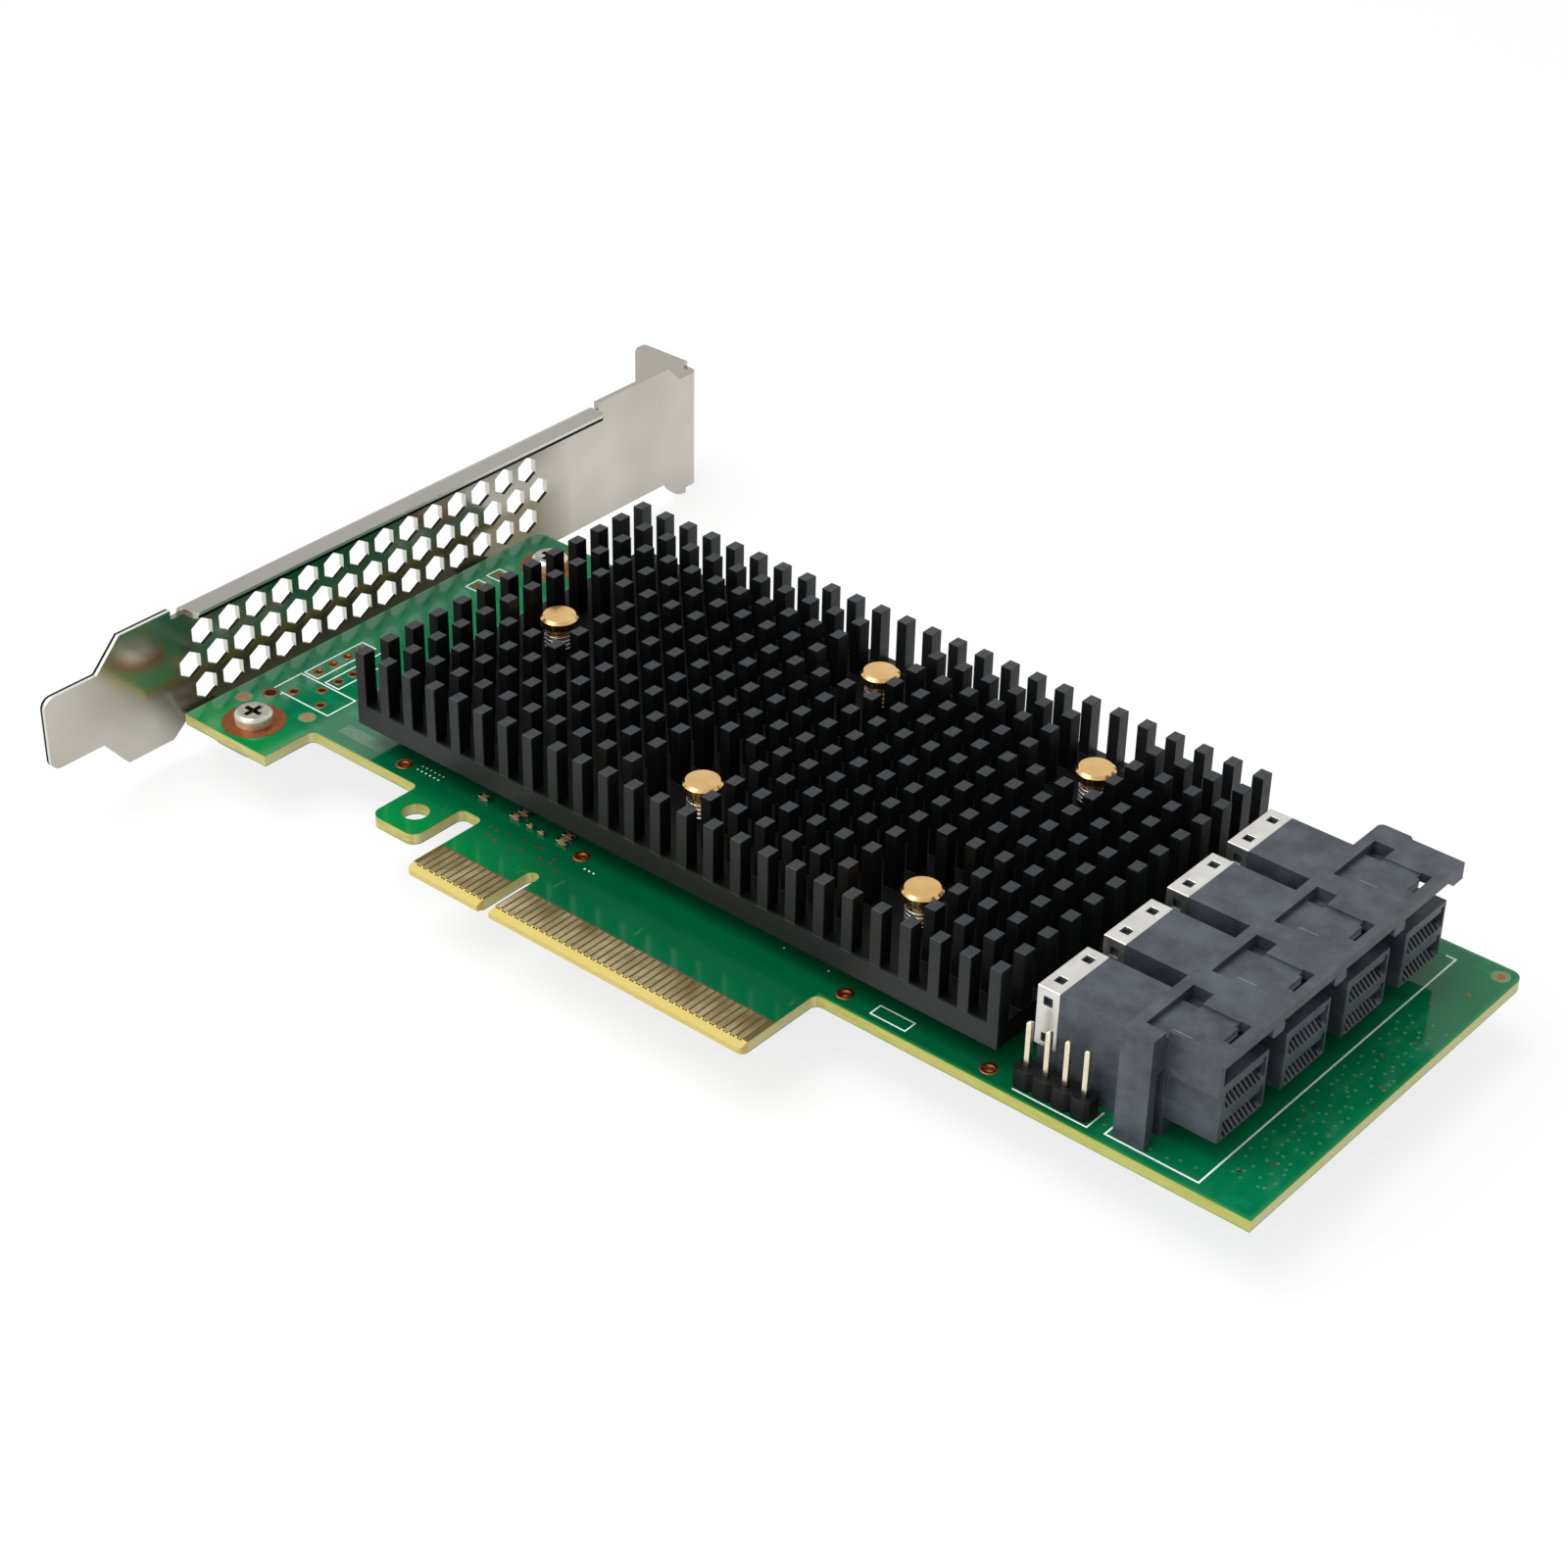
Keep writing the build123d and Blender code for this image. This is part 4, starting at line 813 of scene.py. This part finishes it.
def underside():
    """The board's lower face: solder on the header's tails, vias below the chip and plain outlines."""
    face = -BOARD_THICKNESS
    low, high = node_box("header_pins")
    middle = (low + high) / 2
    tails = [(middle[0] + HEADER_PITCH * step, middle[1]) for step in (-1.5, -0.5, 0.5, 1.5)]
    fillet = turned([
        (0.3, face - 0.8), (0.36, face - 0.8), (0.5, face - 0.45),
        (0.9, face - 0.06), (0.9, face + 0.01), (0.3, face + 0.01),
    ], 24)
    add_piece("solder_fillets", [repeated(fillet, tails)], FINISHES["solder"], smooth=True)

    chip_low, chip_high = node_box("controller_substrate")
    chip_middle = (chip_low + chip_high) / 2
    steps = 2.0 * (np.arange(9) - 4)
    columns = np.meshgrid(chip_middle[0] + steps, chip_middle[1] + steps)
    grid = np.stack(columns, axis=-1).reshape(-1, 2)
    strewn = [
        spread_in((108.0, 18.0), (151.0, 64.0), 90, seed=21),
        spread_in((16.0, 20.0), (58.0, 64.0), 60, seed=22),
    ]
    ring = turned([(0.1, face - 0.02), (0.19, face - 0.02), (0.2, face - 0.004), (0.09, face - 0.004)], 12)
    add_piece("underside_vias", [repeated(ring, np.concatenate([grid, *strewn]))], PALE_MASK, smooth=True)

    inset = 1.5
    margin = 1.3
    paths = [
        rectangle_path(*(chip_low[:2] + inset), *(chip_high[:2] - inset)),
        rectangle_path(tails[0][0] - margin, middle[1] - margin, tails[-1][0] + margin, middle[1] + margin),
    ]
    level = face - PRINT_HEIGHT - PRINT_THICKNESS
    lines = [ribbon(path, LINE_WIDTH, level, closed=True) for path in paths]
    add_piece("underside_print", lines, WHITE_INK, thickness=PRINT_THICKNESS)


def springs():
    """Sprung wire coils between the sink's base and the heads of the push pins."""
    low, high = node_box("push_pin_springs")
    wire = 0.36
    outer_diameter = 4.1
    coil = helix((outer_diameter - wire) / 2, wire, low[2], high[2], 4.0)
    made = add_piece("push_pin_coils", [repeated(coil, PUSH_PINS)], FINISHES["spring_steel"], smooth=True)
    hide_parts("push_pin_springs")


# Stage, light and camera

CAMERA_AZIMUTH = math.radians(39.715)
CAMERA_ELEVATION = math.radians(33.266)
CAMERA_ROLL = math.radians(1.175)
CAMERA_EYE = (276.74, -209.68, 215.5)
CAMERA_LENS = 73.43
SENSOR_WIDTH = 36.0
FLOOR_REACH = 3.0
FLOOR_DROP = 0.0002
FLOOR_WHITENESS = 0.8
MIRRORED_FLOOR = 0.6
CEILING_LEVEL = 0.65
SURROUND_LEVEL = 0.5


def add_camera():
    """A camera at the photograph's place: it looks by azimuth and elevation, then rolls about its axis."""
    data = bpy.data.cameras.new("camera")
    data.lens = CAMERA_LENS
    data.sensor_width = SENSOR_WIDTH
    data.clip_start = 0.01
    data.clip_end = 20.0
    camera = bpy.data.objects.new("camera", data)
    bpy.context.scene.collection.objects.link(camera)
    level = math.cos(CAMERA_ELEVATION)
    forward = Vector((
        -math.sin(CAMERA_AZIMUTH) * level, math.cos(CAMERA_AZIMUTH) * level, -math.sin(CAMERA_ELEVATION),
    ))
    right = forward.cross(Vector((0, 0, 1))).normalized()
    up = right.cross(forward)
    rolled_right = right * math.cos(CAMERA_ROLL) + up * math.sin(CAMERA_ROLL)
    rolled_up = up * math.cos(CAMERA_ROLL) - right * math.sin(CAMERA_ROLL)
    turn = Matrix((rolled_right, rolled_up, -forward)).transposed()
    eye = Vector(BOARD_ORIGIN + np.array(CAMERA_EYE) * MM)
    camera.matrix_world = Matrix.Translation(eye) @ turn.to_4x4()
    bpy.context.scene.camera = camera


def add_area_light(name, place, size, power):
    """A square soft lamp at a place in metres, turned to the middle of the card."""
    aim = Vector((0, 0, 0.01))
    data = bpy.data.lights.new(name, "AREA")
    data.shape = "SQUARE"
    data.size = size
    data.energy = power
    lamp = bpy.data.objects.new(name, data)
    lamp.location = place
    lamp.rotation_euler = (aim - Vector(place)).to_track_quat("-Z", "Y").to_euler()
    bpy.context.scene.collection.objects.link(lamp)


def looks_at(tree):
    """Two flags: the camera looks straight at the shaded point, or a mirrored or transmitted ray does."""
    path = add_node(tree, "LightPath", output=None)
    rays = [path["Is Glossy Ray"], path["Is Transmission Ray"]]
    return path["Is Camera Ray"], add_node(tree, "Math", rays, operation="MAXIMUM")


def add_floor():
    """A wide pale floor just below the card, white to the camera where no shadow falls."""
    mesh = bpy.data.meshes.new("floor")
    level = cad_low.z - FLOOR_DROP
    corners = rectangle_path(-FLOOR_REACH, -FLOOR_REACH, FLOOR_REACH, FLOOR_REACH)
    mesh.from_pydata([(x, y, level) for x, y in corners], [], [(0, 1, 2, 3)])
    floor = bpy.data.objects.new("floor", mesh)
    bpy.context.scene.collection.objects.link(floor)
    material, tree, shader, place = new_material("pale_floor", "#f4f4f4", 0.9)
    connect(tree, shader, {"Specular IOR Level": 0.0})
    direct, mirrored = looks_at(tree)

    # Mirrored, the floor is dark below the card and white away from it
    spot = board_axes(tree, place)
    dark_low = (-3.0, 10.0)
    dark_high = (BOARD_LENGTH + 3.0, BOARD_DEPTH)
    outside = None
    for axis, low, high in zip("XY", dark_low, dark_high):
        offset = add_node(tree, "Math", [spot[axis], (low + high) / 2], operation="SUBTRACT")
        distance = add_node(tree, "Math", [offset], operation="ABSOLUTE")
        beyond = add_node(tree, "Math", [distance, (high - low) / 2], operation="SUBTRACT")
        if outside is None:
            outside = beyond
        else:
            outside = add_node(tree, "Math", [outside, beyond], operation="MAXIMUM")
    open_floor = add_node(tree, "MapRange", [outside, -4.0, 0.0, 0.0, MIRRORED_FLOOR])
    reflected = add_node(tree, "Math", [mirrored, open_floor], operation="MULTIPLY")
    shown = add_node(tree, "Math", [direct, FLOOR_WHITENESS], operation="MULTIPLY")
    share = add_node(tree, "Math", [shown, reflected], operation="MAXIMUM")
    glow = add_node(tree, "Emission", {"Color": "#ffffff", "Strength": 1.0})
    seen = add_node(tree, "MixShader", [share, shader.outputs["BSDF"], glow])

    # From below the floor can't be seen
    backside = add_node(tree, "NewGeometry", output="Backfacing")
    one_way = add_node(tree, "MixShader", [backside, seen, add_node(tree, "BsdfTransparent")])
    connect(tree, tree.nodes["Material Output"], {"Surface": one_way})
    mesh.materials.append(material)


def set_world():
    """An even pale surround, white where the camera or a reflection looks at it."""
    world = bpy.data.worlds.new("studio")
    bpy.context.scene.world = world
    world.use_nodes = True
    tree = world.node_tree
    tree.nodes.clear()
    direct, mirrored = looks_at(tree)
    seen = add_node(tree, "Math", [direct, mirrored], operation="MAXIMUM")

    # A mirrored ceiling is dimmer than the mirrored walls
    climb = add_node(tree, "SeparateXYZ", [add_node(tree, "TexCoord", output="Generated")], "Z")
    ceiling = add_node(tree, "MapRange", [climb, 0.3, 0.85, 1.0, CEILING_LEVEL])
    strength = add_node(tree, "Math", [ceiling, direct], operation="MAXIMUM")
    plain = add_node(tree, "Background", {"Color": "#ffffff", "Strength": SURROUND_LEVEL})
    white = add_node(tree, "Background", {"Color": "#ffffff", "Strength": strength})
    choice = add_node(tree, "MixShader", [seen, plain, white])
    add_node(tree, "OutputWorld", {"Surface": choice}, None)


bpy.context.scene.view_settings.view_transform = "Standard"
set_world()
add_floor()
add_camera()
add_area_light("key", (-0.3, -0.25, 0.85), 0.8, 8.5)
add_area_light("fill", (0.1, -0.8, 0.3), 0.7, 2.0)

board_print()
plated_holes()
vias()
copper_pads()
edge_contact_ties()
painted_rim_highlights()
underside()
springs()
